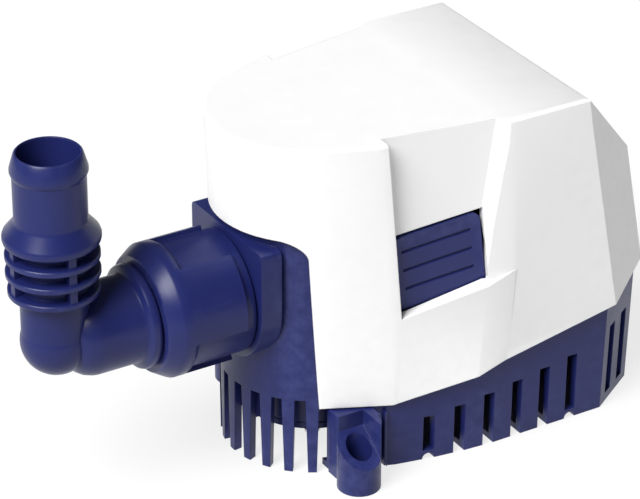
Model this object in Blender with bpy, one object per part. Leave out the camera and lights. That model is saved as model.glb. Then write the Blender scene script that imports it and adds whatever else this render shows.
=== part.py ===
"""Automatic bilge pump: strainer base, lift-off pump unit, side release tabs,
motor with impeller, float switch and a swivelling hose elbow.

Metres, +Z up. The origin is on the hull plane, under the middle of the whole
pump. The outlet points to -X and the float chamber is at +X. The functions
below work in millimetres from the motor axis; piece() brings them to the frame.
"""
import math

import bmesh
import bpy
from mathutils import Matrix, Vector

MM = 0.001
GAP = 0.3                      # clearance between neighbouring pieces, mm
FRAME_X = -2.064               # from the motor axis to the middle of the whole pump
WELD = 0.002                   # points closer than this are one, mm

# ---------------------------------------------------------------- sizes (mm)
TOP_Z = 109.7                  # lid above the hull
WALL = 2.0                     # cover wall
SEGMENTS = 32                  # sides of an ordinary round piece

# cover, plan view: round nose about the motor axis, then straight sides
NOSE_R_LOW, NOSE_R_TOP = 28.4, 31.4
NOSE_END = 66.0                # degrees each side of -X
SHOULDER_LOW, SHOULDER_TOP = (7.4, -34.9), (2.4, -34.6)
SIDE_LOW, SIDE_TOP = (44.0, -40.7), (46.0, -40.2)
SIDE_REAR_LOW, SIDE_REAR_TOP = -41.1, -40.2
LOFT_LOW_Z = 20.0

# rear of the cover: three flat cuts
LID_REAR_X = 70.5
SHOULDER_REAR = (96.2, 81.3)   # x, z of the step between slope and rear wall
REAR_FOOT = (102.8, 44.0)      # x, z low on the rear wall
FACET_POINTS = ((70.5, -40.2, 109.7), (83.0, -41.0, 37.5), (102.8, -25.5, 44.0))

# lower edge of the cover, seen from the side (x, z)
COVER_EDGE = ((-40.0, 22.6), (8.0, 22.6), (33.0, 27.6), (43.0, 30.0), (83.0, 37.4), (110.0, 42.2))

# front window of the cover for the blue outlet panel
WINDOW_HALF_Y, WINDOW_TOP_Z, WINDOW_CORNER = 25.6, 79.5, 6.0

# side pocket of the release tab (near side; the far side mirrors it)
POCKET_A, POCKET_B = (4.3, -30.5), (41.3, -36.8)      # floor line in plan
POCKET_LEFT = (4.3, 9.9)       # x of the left wall at the lid and at the ledge
POCKET_RIGHT_OUT = (46.0, 37.4)
POCKET_RIGHT_IN = (41.3, 33.3)
LEDGE = ((9.9, 51.3), (47.0, 60.5))                   # x, z of the ledge line
APRON_OUT = 1.2                # the apron under the ledge stands proud of the side
APRON_CREST, APRON_END = 33.0, 43.4                   # x of its crest and end, low down
APRON_LEAN = 3.1               # how far both move to the rear by the ledge

# release tab
TAB_X_TOP, TAB_X_LOW = (8.9, 35.8), (11.7, 38.4)
TAB_TOP_RISE = (76.2, 80.6)    # z of the top edge at its two ends
TAB_LOW_RISE = (52.2, 56.4)
TAB_THICK = 2.4
TAB_CORNER = 3.4
TAB_WINDOW_LOW_X = 9.5         # lets the tab's top corner through as the pump unit lifts
TAB_CHEEK = (36.6, 36.0)       # x of the window's right side at the slanted wall, low and high
TAB_PIVOT_Z = 27.0

ARM_OFFSET, ARM_HALF, BARREL_R = 1.2, 10.5, 2.1

# strainer base
BASE_R = 27.7
BASE_START = 71.5              # degrees where its wall takes over from the comb
BASE_SIDE = ((10.0, -33.0), (22.4, -35.5), (32.0, -36.8), (41.6, -37.5), (81.3, -37.5), (99.0, -25.9))
BASE_DRAFT = 0.022             # outward, per mm of height
BASE_WALL = 2.4
BASE_FLOOR = 2.2
BASE_WALL_TOP = 3.6            # how far the wall reaches up behind the cover edge
BASE_BITE_R = 23.0             # opening in the floor under the impeller
SIDE_SLOT_COUNT, SIDE_SLOT_FIRST, SIDE_SLOT_PITCH = 6, 20.1, 9.95
SIDE_SLOT_W = 3.6
SIDE_SLOT_TOP = (15.0, 0.15)   # z of the first slot's top and its slope to the rear
SLOT_DEPTH = 8.0               # the open slots run this far under the floor
SLOT_SILL = 3.0
FACET_SLOTS = (0.28, 0.72)     # along the rear corner facet
FACET_SLOT_W, FACET_SLOT_TOP = 4.2, 27.0
REAR_SLOTS = (-18.0, -9.0, 0.0, 9.0, 18.0)
FOOT_XY, FOOT_R, FOOT_TOP = (-5.5, -36.9), 6.6, 22.0
FOOT_PAD, FOOT_HOLE_R, FOOT_SINK_R = 8.7, 2.3, 4.2

# front comb of the pump housing
COMB_PITCH, COMB_LAST = 15.0, 60.0
COMB_TOOTH_TOP, COMB_TOOTH_LOW = 4.0, 2.6
COMB_TOP_Z = 25.0
PANEL_WALL = 2.6
PANEL_END_X = -9.3

# outlet
OUT_Z = 55.8
BOSS_HALF_Y, BOSS_TOP_Z = 20.6, 76.2
BOSS_FACE_X = -28.8
SPIGOT_R, SPIGOT_END_X = 15.0, -46.0
BORE_R = 9.6
NUT_BACK_X, NUT_FRONT_X = -29.2, -57.8
NUT_LUG_STARTS, NUT_LUG_SPAN = (30.0, 150.0, 270.0), 68.0   # degrees from the top towards -Y
NUT_LUG_R, NUT_LUG_REACH = 20.4, (33.0, 50.2)               # radius; along the outlet
ELBOW_X = -85.0
ELBOW_R, ELBOW_WIDE_R = 10.0, 13.4
ELBOW_TOP_Z = 116.0
ELBOW_BORE, ELBOW_RIM_BORE = 7.8, 8.6
ELBOW_DISCS = ((72.6, 13.3), (78.4, 13.7), (83.8, 13.7))    # z, radius
ELBOW_WEB, ELBOW_WEB_R = 2.4, 12.8
ELBOW_SIDES = 24
NUT_LIP_R = 12.4
FLAP_PIVOT_X, FLAP_PIVOT_Z = -32.6, OUT_Z + 6.7

# motor and impeller
DECK_Z0, DECK_Z1 = 43.0, 46.0
WELL_Z = 34.0                  # floor of the motor well in the housing
MOTOR_R, MOTOR_Z0, MOTOR_Z1 = 15.0, WELL_Z + 1.2, 84.0
VOLUTE_R, VOLUTE_Z0 = 21.5, 14.0
CHAMBER_R, CHAMBER_Z1 = 17.5, 27.0
RISER_BACK_X, RISER_FRONT_X = -17.4, -22.4   # channel from the chamber to the outlet
RISER_WALL = 1.7
INLET_R = 7.5
SHAFT_R, SHAFT_Z0, SHAFT_Z1 = 1.6, 18.5, 89.5
IMPELLER_R, IMPELLER_Z0, IMPELLER_Z1 = 15.5, 17.6, 26.0
SEAL_R, SEAL_Z0 = 4.6, 29.6
SCREW_R = 1.2

# float switch
FLOAT_PIVOT = (41.0, 33.0)     # x, z
FLOAT_X = (46.0, 92.0)
FLOAT_HALF_Y = 13.0
FLOAT_Z = (6.0, 25.0)
FLOAT_PIN_R = 1.5

# cable gland, square to the rear wall
GLAND_R, GLAND_FLANGE_R, GLAND_HOLE_R = 4.5, 7.0, 2.4
GLAND_Z = 66.0

# colours: linear RGB, roughness, metallic
NAVY = ((0.016, 0.018, 0.115), 0.34, 0.0)
NAVY_TAB = ((0.020, 0.024, 0.135), 0.38, 0.0)
WHITE = ((0.86, 0.86, 0.86), 0.42, 0.0)
STEEL = ((0.62, 0.62, 0.64), 0.28, 1.0)
COPPER = ((0.72, 0.36, 0.18), 0.35, 1.0)
BRONZE = ((0.55, 0.40, 0.20), 0.40, 1.0)
CARBON = ((0.03, 0.03, 0.03), 0.55, 0.0)
FERRITE = ((0.06, 0.06, 0.065), 0.60, 0.0)
RUBBER = ((0.02, 0.02, 0.02), 0.75, 0.0)
CREAM = ((0.70, 0.68, 0.60), 0.50, 0.0)
BOARD = ((0.03, 0.16, 0.07), 0.45, 0.0)


# ------------------------------------------------------------------- helpers
def clear_scene():
    for item in list(bpy.data.objects):
        bpy.data.objects.remove(item, do_unlink=True)


def material(name, look):
    colour, roughness, metallic = look
    mat = bpy.data.materials.new(name)
    mat.use_nodes = True
    shader = mat.node_tree.nodes["Principled BSDF"]
    shader.inputs["Base Color"].default_value = (*colour, 1.0)
    shader.inputs["Roughness"].default_value = roughness
    shader.inputs["Metallic"].default_value = metallic
    mat.diffuse_color = (*colour, 1.0)
    return mat


def finish_mesh(bm, name):
    """Weld, face outwards and make an object, still in millimetres."""
    bmesh.ops.remove_doubles(bm, verts=bm.verts, dist=1e-4)
    bmesh.ops.recalc_face_normals(bm, faces=bm.faces)
    mesh = bpy.data.meshes.new(name)
    bm.to_mesh(mesh)
    bm.free()
    obj = bpy.data.objects.new(name, mesh)
    bpy.context.scene.collection.objects.link(obj)
    return obj


def rings_mesh(rings, name, cap=True):
    """Skin equal rings of points, closing both ends with a face."""
    bm = bmesh.new()
    loops = [[bm.verts.new(p) for p in ring] for ring in rings]
    count = len(rings[0])
    for low, high in zip(loops, loops[1:]):
        for i in range(count):
            j = (i + 1) % count
            bm.faces.new((low[i], low[j], high[j], high[i]))
    if cap:
        bm.faces.new(list(reversed(loops[0])))
        bm.faces.new(loops[-1])
    return finish_mesh(bm, name)


def prism(points, z0, z1, name="tool"):
    """A plan outline pulled up between two heights."""
    return rings_mesh([[(x, y, z) for x, y in points] for z in (z0, z1)], name)


def side_prism(points, y0, y1, name="tool"):
    """An outline in the XZ plane pulled along Y."""
    return rings_mesh([[(x, y, z) for x, z in points] for y in (y0, y1)], name)


def front_prism(points, x0, x1, name="tool"):
    """An outline in the YZ plane pulled along X."""
    return rings_mesh([[(x, y, z) for y, z in points] for x in (x0, x1)], name)


def box(low, high, name="tool"):
    points = [(low[0], low[1]), (high[0], low[1]), (high[0], high[1]), (low[0], high[1])]
    return prism(points, low[2], high[2], name)


def turned(profile, centre, axis="Z", steps=SEGMENTS, name="tool"):
    """Turn (radius, height) pairs about an axis; a closed profile gives a ring."""
    bm = bmesh.new()
    rings = []
    for radius, height in profile:
        if radius < 1e-6:
            rings.append([bm.verts.new((0, 0, height))])
            continue
        turns = [2 * math.pi * i / steps for i in range(steps)]
        rings.append([bm.verts.new((radius * math.cos(t), radius * math.sin(t), height)) for t in turns])
    hollow = all(radius > 1e-6 for radius, _ in profile)
    pairs = list(zip(rings, rings[1:]))
    if hollow:
        pairs.append((rings[-1], rings[0]))
    for low, high in pairs:
        for i in range(steps):
            j = (i + 1) % steps
            if len(low) == 1 and len(high) == 1:
                continue
            if len(low) == 1:
                bm.faces.new((low[0], high[j], high[i]))
            elif len(high) == 1:
                bm.faces.new((low[i], low[j], high[0]))
            else:
                bm.faces.new((low[i], low[j], high[j], high[i]))
    turn = {"Z": Matrix.Identity(4), "X": Matrix.Rotation(math.pi / 2, 4, "Y"),
            "-X": Matrix.Rotation(-math.pi / 2, 4, "Y"), "Y": Matrix.Rotation(-math.pi / 2, 4, "X")}[axis]
    bmesh.ops.transform(bm, matrix=Matrix.Translation(Vector(centre)) @ turn, verts=bm.verts)
    return finish_mesh(bm, name)


def cylinder(radius, low, high, centre, axis="Z", steps=SEGMENTS, name="tool"):
    return turned([(0, low), (radius, low), (radius, high), (0, high)], centre, axis, steps, name)


def tube(outer, inner, low, high, centre, axis="Z", steps=SEGMENTS, name="tool"):
    return turned([(inner, low), (outer, low), (outer, high), (inner, high)], centre, axis, steps, name)


def volume(mesh):
    bm = bmesh.new()
    bm.from_mesh(mesh)
    result = bm.calc_volume()
    bm.free()
    return result


def welded(mesh):
    """Merge the boolean's hair-thin edges; say whether the surface is closed."""
    bm = bmesh.new()
    bm.from_mesh(mesh)
    bmesh.ops.remove_doubles(bm, verts=bm.verts, dist=WELD)
    bmesh.ops.dissolve_degenerate(bm, edges=bm.edges, dist=WELD)
    doubled = [f for f in bm.faces if len({g for e in f.edges for g in e.link_faces}) == 2]
    bmesh.ops.delete(bm, geom=doubled, context="FACES")
    closed = all(edge.is_manifold for edge in bm.edges)
    bm.to_mesh(mesh)
    bm.free()
    return closed


def applied(obj, modifier, solver):
    """The boolean's result with one solver: its mesh, whether closed, its volume."""
    modifier.solver = solver
    bpy.context.view_layer.update()
    result = obj.evaluated_get(bpy.context.evaluated_depsgraph_get())
    mesh = bpy.data.meshes.new_from_object(result)
    return mesh, welded(mesh), volume(mesh)


def combine(obj, tool, operation):
    """Apply a boolean and drop the tool: exact, or manifold where exact fails."""
    modifier = obj.modifiers.new("boolean", "BOOLEAN")
    modifier.operation = operation
    modifier.object = tool
    exact, exact_closed, exact_volume = applied(obj, modifier, "EXACT")
    other, other_closed, other_volume = applied(obj, modifier, "MANIFOLD")
    agree = abs(exact_volume - other_volume) <= 0.001 * abs(other_volume) + 0.5
    exact_fails = not exact_closed or (other_closed and not agree)
    obj.modifiers.clear()
    obj.data = other if exact_fails else exact
    bpy.data.objects.remove(tool, do_unlink=True)
    return obj


def cut(obj, *tools):
    for tool in tools:
        combine(obj, tool, "DIFFERENCE")
    return obj


def add(obj, *tools):
    for tool in tools:
        combine(obj, tool, "UNION")
    return obj


def common(obj, tool):
    return combine(obj, tool, "INTERSECT")


def flip_y(obj, name="tool"):
    """A mirror image across the XZ plane, facing out again."""
    bm = bmesh.new()
    bm.from_mesh(obj.data)
    bmesh.ops.scale(bm, vec=(1, -1, 1), verts=bm.verts)
    bmesh.ops.reverse_faces(bm, faces=bm.faces)
    mesh = bpy.data.meshes.new(name)
    bm.to_mesh(mesh)
    bm.free()
    copy = bpy.data.objects.new(name, mesh)
    bpy.context.scene.collection.objects.link(copy)
    return copy


def both_sides(obj):
    return obj, flip_y(obj)


def piece(obj, name, mat, origin=(0, 0, 0), smooth=True):
    """Name a finished sub-part, bring it to metres about its joint and shade it."""
    obj.name = name
    obj.data.name = name
    bm = bmesh.new()
    bm.from_mesh(obj.data)
    bmesh.ops.dissolve_limit(bm, angle_limit=math.radians(0.05), verts=bm.verts, edges=bm.edges)
    bmesh.ops.translate(bm, vec=-Vector(origin), verts=bm.verts)
    bmesh.ops.scale(bm, vec=(MM, MM, MM), verts=bm.verts)
    bm.to_mesh(obj.data)
    bm.free()
    obj.location = (Vector(origin) + Vector((FRAME_X, 0, 0))) * MM
    obj.data.materials.clear()
    obj.data.materials.append(mat)
    if smooth:
        obj.data.shade_smooth()
        obj.data.set_sharp_from_angle(angle=math.radians(30))
    return obj


def lerp(a, b, t):
    return a + (b - a) * t


def lerp_point(a, b, t):
    return tuple(lerp(p, q, t) for p, q in zip(a, b))


def arc_points(radius, start, end, count, centre=(0.0, 0.0)):
    """Points on an arc, angles in degrees from +X."""
    angles = [math.radians(lerp(start, end, i / (count - 1))) for i in range(count)]
    return [(centre[0] + radius * math.cos(a), centre[1] + radius * math.sin(a)) for a in angles]


def mirror_outline(half):
    """Close a half outline (y below 0, nose to tail) with its mirror image."""
    return half + [(x, -y) for x, y in reversed(half) if abs(y) > 1e-6]


def plane_cut(obj, point, normal):
    """Keep the side of a plane that its normal points away from."""
    bm = bmesh.new()
    bm.from_mesh(obj.data)
    geometry = bm.verts[:] + bm.edges[:] + bm.faces[:]
    bmesh.ops.bisect_plane(bm, geom=geometry, plane_co=point, plane_no=normal,
                           clear_outer=True, dist=1e-4)
    bmesh.ops.holes_fill(bm, edges=[e for e in bm.edges if e.is_boundary])
    bmesh.ops.recalc_face_normals(bm, faces=bm.faces)
    bm.to_mesh(obj.data)
    bm.free()
    return obj


# -------------------------------------------------------------- cover shapes
def cover_outline(t, inset):
    """Plan outline of the cover at loft position t, moved inwards by inset."""
    radius = lerp(NOSE_R_LOW, NOSE_R_TOP, t) - inset
    half = arc_points(radius, 180.0, 180.0 + NOSE_END, 12)
    shoulder = lerp_point(SHOULDER_LOW, SHOULDER_TOP, t)
    side = lerp_point(SIDE_LOW, SIDE_TOP, t)
    rear = lerp(SIDE_REAR_LOW, SIDE_REAR_TOP, t)
    half += [(shoulder[0] + 0.4 * inset, shoulder[1] + inset), (side[0], side[1] + inset)]
    half += [(130.0, rear + inset)]
    return mirror_outline(half)


def hull_solid(inset, name="tool"):
    """The closed outer form of the cover, reduced by an even inset."""
    span = TOP_Z - LOFT_LOW_Z
    top_z = TOP_Z - inset
    t_top = (top_z - LOFT_LOW_Z) / span
    low = [(x, y, LOFT_LOW_Z) for x, y in cover_outline(0.0, inset)]
    top = [(x, y, top_z) for x, y in cover_outline(t_top, inset)]
    solid = rings_mesh([low, top], name)
    slope = Vector((TOP_Z - SHOULDER_REAR[1], 0, SHOULDER_REAR[0] - LID_REAR_X)).normalized()
    wall = Vector((SHOULDER_REAR[1] - REAR_FOOT[1], 0, REAR_FOOT[0] - SHOULDER_REAR[0])).normalized()
    plane_cut(solid, Vector((LID_REAR_X, 0, TOP_Z)) - slope * inset, slope)
    plane_cut(solid, Vector((REAR_FOOT[0], 0, REAR_FOOT[1])) - wall * inset, wall)
    a, b, c = (Vector(p) for p in FACET_POINTS)
    facet = (b - a).cross(c - a).normalized()
    if facet.x < 0:
        facet.negate()
    plane_cut(solid, a - facet * inset, facet)
    far = Vector((facet.x, -facet.y, facet.z))
    plane_cut(solid, Vector((a.x, -a.y, a.z)) - far * inset, far)
    return solid


def pocket_tool(grow):
    """The space cut out of the cover side above the ledge."""
    a, b = Vector(POCKET_A), Vector(POCKET_B)
    inward = Vector((-(b - a).y, (b - a).x)).normalized()
    if inward.y < 0:
        inward.negate()
    floor_a, floor_b = a + inward * grow, b + inward * grow
    drop = grow / math.cos(math.radians(9.1))
    rings = []
    for level in (1, 0):
        x_left = POCKET_LEFT[level] - grow
        x_in, x_out = POCKET_RIGHT_IN[level] + 0.5 * grow, POCKET_RIGHT_OUT[level] + grow
        slope = (floor_b.y - floor_a.y) / (floor_b.x - floor_a.x)
        y_left = floor_a.y + slope * (x_left - floor_a.x)
        y_in = floor_a.y + slope * (x_in - floor_a.x)
        plan = [(x_left, -50.0), (x_out + 8.0, -50.0), (x_out, -40.6 + 0.2 * level), (x_in, y_in),
                (x_left, y_left)]
        rings.append([(x, y, ledge_height(x) - drop if level else TOP_Z + 8.0) for x, y in plan])
    return rings_mesh(rings, "tool")


def ledge_height(x):
    (x0, z0), (x1, z1) = LEDGE
    return lerp(z0, z1, (x - x0) / (x1 - x0))


def apron_solid():
    """Raised apron under the ledge: out to a crest, then back on a bevel."""
    rings = []
    for lean in (0.0, APRON_LEAN):
        crest, end = APRON_CREST + lean, APRON_END + lean
        outline = [(7.0, -33.2), (7.0, -34.7), (crest, SIDE_LOW[1] + 0.5 - APRON_OUT),
                   (end, SIDE_LOW[1] + 0.1), (end, SIDE_LOW[1] + 2.0), (crest, SIDE_LOW[1] + 2.4)]
        rings.append([(x, y, ledge_height(x) if lean else LOFT_LOW_Z) for x, y in outline])
    return rings_mesh(rings, "tool")


def below_edge_tool():
    """Everything under the lower edge of the cover."""
    outline = [(x, z) for x, z in COVER_EDGE] + [(110.0, -5.0), (-40.0, -5.0)]
    return side_prism(outline, -60.0, 60.0)


def window_tool(grow=0.0):
    """Front opening of the cover, with round upper corners."""
    half, top, r = WINDOW_HALF_Y + grow, WINDOW_TOP_Z + grow, WINDOW_CORNER
    outline = [(-half, 0.0)]
    outline += [(-half + r - r * math.cos(a), top - r + r * math.sin(a))
                for a in (math.radians(15 * i) for i in range(7))]
    outline += [(-y, z) for y, z in reversed(outline)]
    return front_prism(outline, -60.0, 0.0)


def gland_place():
    """Where the gland's axis meets the rear wall, and the wall's normal."""
    rise = (SHOULDER_REAR[1] - GLAND_Z) / (SHOULDER_REAR[1] - REAR_FOOT[1])
    x = lerp(SHOULDER_REAR[0], REAR_FOOT[0], rise)
    normal = Vector((SHOULDER_REAR[1] - REAR_FOOT[1], 0, REAR_FOOT[0] - SHOULDER_REAR[0])).normalized()
    return Vector((x, 0, GLAND_Z)), normal


def aim_at_wall(obj):
    """Turn a piece made along +Z at the origin onto the rear wall."""
    centre, normal = gland_place()
    turn = Vector((0, 0, 1)).rotation_difference(normal).to_matrix().to_4x4()
    obj.data.transform(Matrix.Translation(centre) @ turn)
    return obj


def cheek_solid():
    """Backs the slanted wall beside the tab, so that the window has a full right side."""
    low = [(38.2, -35.0), (41.5, -35.0), (41.5, -39.4), (37.8, -39.4)]
    top = [(38.2, -35.0), (44.0, -35.0), (44.0, -39.4), (42.2, -39.4)]
    return rings_mesh([[(x, y, 53.0) for x, y in low], [(x, y, 84.0) for x, y in top]], "tool")


def tab_window_ring(depth, left, right, low):
    """One outline of the tab's window, at a depth behind the pocket floor."""
    corners = [(left[0], low[0]), (right[0], low[1]), (right[1], TAB_TOP_RISE[1] + 1.0),
               (left[1], TAB_TOP_RISE[0] + 1.0)]
    return [(x, tab_face_y(x) + depth, z) for x, z in corners]


def tab_window_tools():
    """The tab's window: straight behind the pocket floor, turned to the slanted wall before it."""
    left, right = (TAB_WINDOW_LOW_X, TAB_X_TOP[0] - 1.0), (TAB_X_LOW[1] + 0.4, TAB_X_TOP[1] + 1.0)
    low = (TAB_LOW_RISE[0] - 1.0, TAB_LOW_RISE[1] - 1.0)
    back = [tab_window_ring(depth, left, right, low) for depth in (-0.5, TAB_THICK + 5.0)]
    left = (POCKET_LEFT[1] + 0.05, left[1])
    low = (ledge_height(left[0]), ledge_height(right[0]))
    front = [tab_window_ring(-4.8, left, TAB_CHEEK, low), tab_window_ring(0.2, left, right, low)]
    return rings_mesh(back, "tool"), rings_mesh(front, "tool")


def tab_channel():
    """Room for the tab and its arm to pass while the pump unit lifts off."""
    x0, x1 = TAB_X_TOP[0] - 0.7, TAB_X_LOW[1] + 0.7
    outline = [(x0, tab_face_y(x0) - 0.5), (x1, tab_face_y(x1) - 0.5), (x1, tab_face_y(x1) + 8.0),
               (x0, tab_face_y(x0) + 8.0)]
    return prism(outline, 15.0, TAB_LOW_RISE[1] + 1.0)


def make_cover(mats):
    cover = hull_solid(0.0)
    pockets = both_sides(pocket_tool(0.0))
    cut(cover, *pockets)
    cavity = hull_solid(WALL)
    cut(cavity, *both_sides(pocket_tool(WALL)))
    cut(cover, cavity)
    add(cover, *both_sides(apron_solid()), *both_sides(cheek_solid()))
    cut(cover, below_edge_tool(), window_tool())
    for tool in tab_window_tools():
        cut(cover, *both_sides(tool))
    cut(cover, *both_sides(tab_channel()))
    cut(cover, aim_at_wall(cylinder(GLAND_R, -12.0, 12.0, (0, 0, 0), "Z", 20)))
    return piece(cover, "cover", mats["white"])


# -------------------------------------------------------------- release tabs
def tab_face_y(x):
    a, b = POCKET_A, POCKET_B
    return a[1] + (b[1] - a[1]) * (x - a[0]) / (b[0] - a[0])


def rounded_corner(before, corner, after, reach):
    """Four points that round a corner, starting and ending reach away from it."""
    corner = Vector(corner)
    start = corner + (Vector(before) - corner).normalized() * reach
    end = corner + (Vector(after) - corner).normalized() * reach
    shares = [i / 3 for i in range(4)]
    return [tuple(start * (1 - t) ** 2 + corner * 2 * t * (1 - t) + end * t ** 2) for t in shares]


def tab_solid():
    """Face plate of the release tab, with round upper corners."""
    low_left, low_right = (TAB_X_LOW[0], TAB_LOW_RISE[0]), (TAB_X_LOW[1], TAB_LOW_RISE[1])
    top_left, top_right = (TAB_X_TOP[0], TAB_TOP_RISE[0]), (TAB_X_TOP[1], TAB_TOP_RISE[1])
    outline = [low_left, low_right]
    outline += rounded_corner(low_right, top_right, top_left, TAB_CORNER)
    outline += rounded_corner(top_right, top_left, low_left, TAB_CORNER)
    return rings_mesh([[(x, tab_face_y(x) + depth, z) for x, z in outline] for depth in (0.0, TAB_THICK)],
                      "tool")


def tab_line():
    """Middle of the tab in plan, the direction along it and the one into the pump."""
    along = (Vector(POCKET_B) - Vector(POCKET_A)).normalized()
    middle_x = 0.5 * (TAB_X_TOP[0] + TAB_X_LOW[1])
    inward = Vector((-along.y, along.x))
    return Vector((middle_x, tab_face_y(middle_x))), along, inward


def tab_pivot():
    """Centre of the tab's pivot barrel."""
    middle, _, inward = tab_line()
    centre = middle + inward * (ARM_OFFSET + 0.5 * TAB_THICK)
    return Vector((centre.x, centre.y, TAB_PIVOT_Z))


def tab_block(s0, s1, d0, d1, z0, z1, name="tool"):
    """A block in the tab's own frame: s along it, d into the pump, z up."""
    middle, along, inward = tab_line()
    corners = [(s0, d0), (s1, d0), (s1, d1), (s0, d1)]
    return prism([tuple(middle + along * s + inward * d) for s, d in corners], z0, z1, name)


def along_tab(obj):
    """Turn a piece made along +Z at the origin onto the pivot axis."""
    _, along, _ = tab_line()
    turn = Vector((0, 0, 1)).rotation_difference(Vector((along.x, along.y, 0))).to_matrix().to_4x4()
    obj.data.transform(Matrix.Translation(tab_pivot()) @ turn)
    return obj


def make_tab():
    """Face plate, arm, catch rib and pivot barrel in one moulding."""
    tab = tab_solid()
    arm_in, arm_out = ARM_OFFSET, ARM_OFFSET + TAB_THICK
    add(tab, tab_block(-ARM_HALF, ARM_HALF, arm_in, arm_out, TAB_PIVOT_Z, 66.0))
    add(tab, tab_block(-ARM_HALF, ARM_HALF, 0.0, arm_in + 0.4, 46.5, 48.0))
    add(tab, along_tab(cylinder(BARREL_R, -ARM_HALF, ARM_HALF, (0, 0, 0), "Z", 16)))
    add(tab, along_tab(cylinder(1.2, -ARM_HALF - 2.6, ARM_HALF + 2.6, (0, 0, 0), "Z", 12)))
    for i in range(3):
        centre = 59.5 + 6.2 * i
        cut(tab, tab_block(-10.5, 9.0, -0.6, 0.5, centre - 0.4, centre + 0.4))
    return tab


def make_tabs(mats):
    near = make_tab()
    far = flip_y(near)
    pivot = tab_pivot()
    piece(near, "release_tab_near", mats["navy_tab"], pivot)
    piece(far, "release_tab_far", mats["navy_tab"], (pivot.x, -pivot.y, pivot.z))


# ------------------------------------------------------------- strainer base
def inset_outline(points, distance):
    """Move every edge of a counter-clockwise outline inwards, keeping corners."""
    result = []
    count = len(points)
    for i in range(count):
        before, here, after = (Vector(points[(i + k) % count]) for k in (-1, 0, 1))
        d0, d1 = (here - before).normalized(), (after - here).normalized()
        n0, n1 = Vector((-d0.y, d0.x)), Vector((-d1.y, d1.x))
        bisector = (n0 + n1).normalized()
        result.append(tuple(here + bisector * (distance / bisector.dot(n0))))
    return result


def base_half(grow):
    """Outer half outline of the base from its first wall corner to the tail."""
    start = math.radians(180.0 + BASE_START)
    first = (BASE_R * math.cos(start), BASE_R * math.sin(start))
    return [first] + [(x + grow * (x > 50), y - grow) for x, y in BASE_SIDE]


def base_solid():
    rings = []
    for z in (0.0, 48.0):
        half = base_half(BASE_DRAFT * z)
        rings.append([(x, y, z) for x, y in mirror_outline(half)])
    return rings_mesh(rings, "tool")


def base_cavity():
    half = [(-40.0, base_half(0.0)[0][1])] + base_half(0.0)
    outline = inset_outline(mirror_outline(half), BASE_WALL)
    outline = [(x - 10.0 if x < -30 else x, y) for x, y in outline]
    return prism(outline, BASE_FLOOR, 60.0)


def above_base_wall():
    """Everything over the top edge of the base wall."""
    outline = [(x, min(z + BASE_WALL_TOP, DECK_Z0 - 1.0)) for x, z in COVER_EDGE]
    outline += [(110.0, 90.0), (-40.0, 90.0)]
    return side_prism(outline, -60.0, 60.0)


def cover_skirt():
    """The cover's wall and the running gap around it, which the base wall clears."""
    outline = [(x, z - GAP) for x, z in COVER_EDGE] + [(110.0, 90.0), (-40.0, 90.0)]
    skirt = side_prism(outline, -60.0, 60.0)
    return cut(skirt, hull_solid(WALL + 2 * GAP))


def side_slots():
    tools = []
    for i in range(SIDE_SLOT_COUNT):
        x = SIDE_SLOT_FIRST + i * SIDE_SLOT_PITCH
        top = SIDE_SLOT_TOP[0] + SIDE_SLOT_TOP[1] * (x - SIDE_SLOT_FIRST)
        closed = i in (0, SIDE_SLOT_COUNT - 1)
        low = SLOT_SILL if closed else -1.0
        tools.append(box((x - 0.5 * SIDE_SLOT_W, -45.0, low), (x + 0.5 * SIDE_SLOT_W, -37.0 + SLOT_DEPTH, top)))
        if closed:
            tools.append(cylinder(1.9, -45.0, -32.0, (x, 0, 0), "Y", 12))
    return tools


def facet_slots():
    a, b = Vector(BASE_SIDE[-2]), Vector(BASE_SIDE[-1])
    along = (b - a).normalized()
    inward = Vector((-along.y, along.x))
    tools = []
    for share in FACET_SLOTS:
        centre = a.lerp(b, share)
        corners = [centre + along * (s * 0.5 * FACET_SLOT_W) + inward * d
                   for s, d in ((-1, -6.0), (1, -6.0), (1, 4.5), (-1, 4.5))]
        tools.append(prism([tuple(c) for c in corners], SLOT_SILL, FACET_SLOT_TOP))
    return tools


def foot_solid():
    x, y = FOOT_XY
    foot = cylinder(FOOT_R, 0.0, FOOT_TOP, (x, y, 0), "Z", 24)
    add(foot, box((x - FOOT_R + 2.6, y, 0.0), (x + FOOT_R + 1.0, -26.0, FOOT_TOP)))
    return foot


def foot_cuts():
    """Sloping scoop for the driver, counterbore and screw hole."""
    x, y = FOOT_XY
    scoop = [(y - 9.0, FOOT_PAD - 1.6), (y + 5.2, FOOT_TOP - 5.0), (y + 5.2, 40.0), (y - 9.0, 40.0)]
    return [front_prism(scoop, x - 8.0, x + 4.6),
            cylinder(FOOT_SINK_R, 4.0, 40.0, (x, y, 0), "Z", 20),
            cylinder(FOOT_HOLE_R, -1.0, 40.0, (x, y, 0), "Z", 20)]


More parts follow.
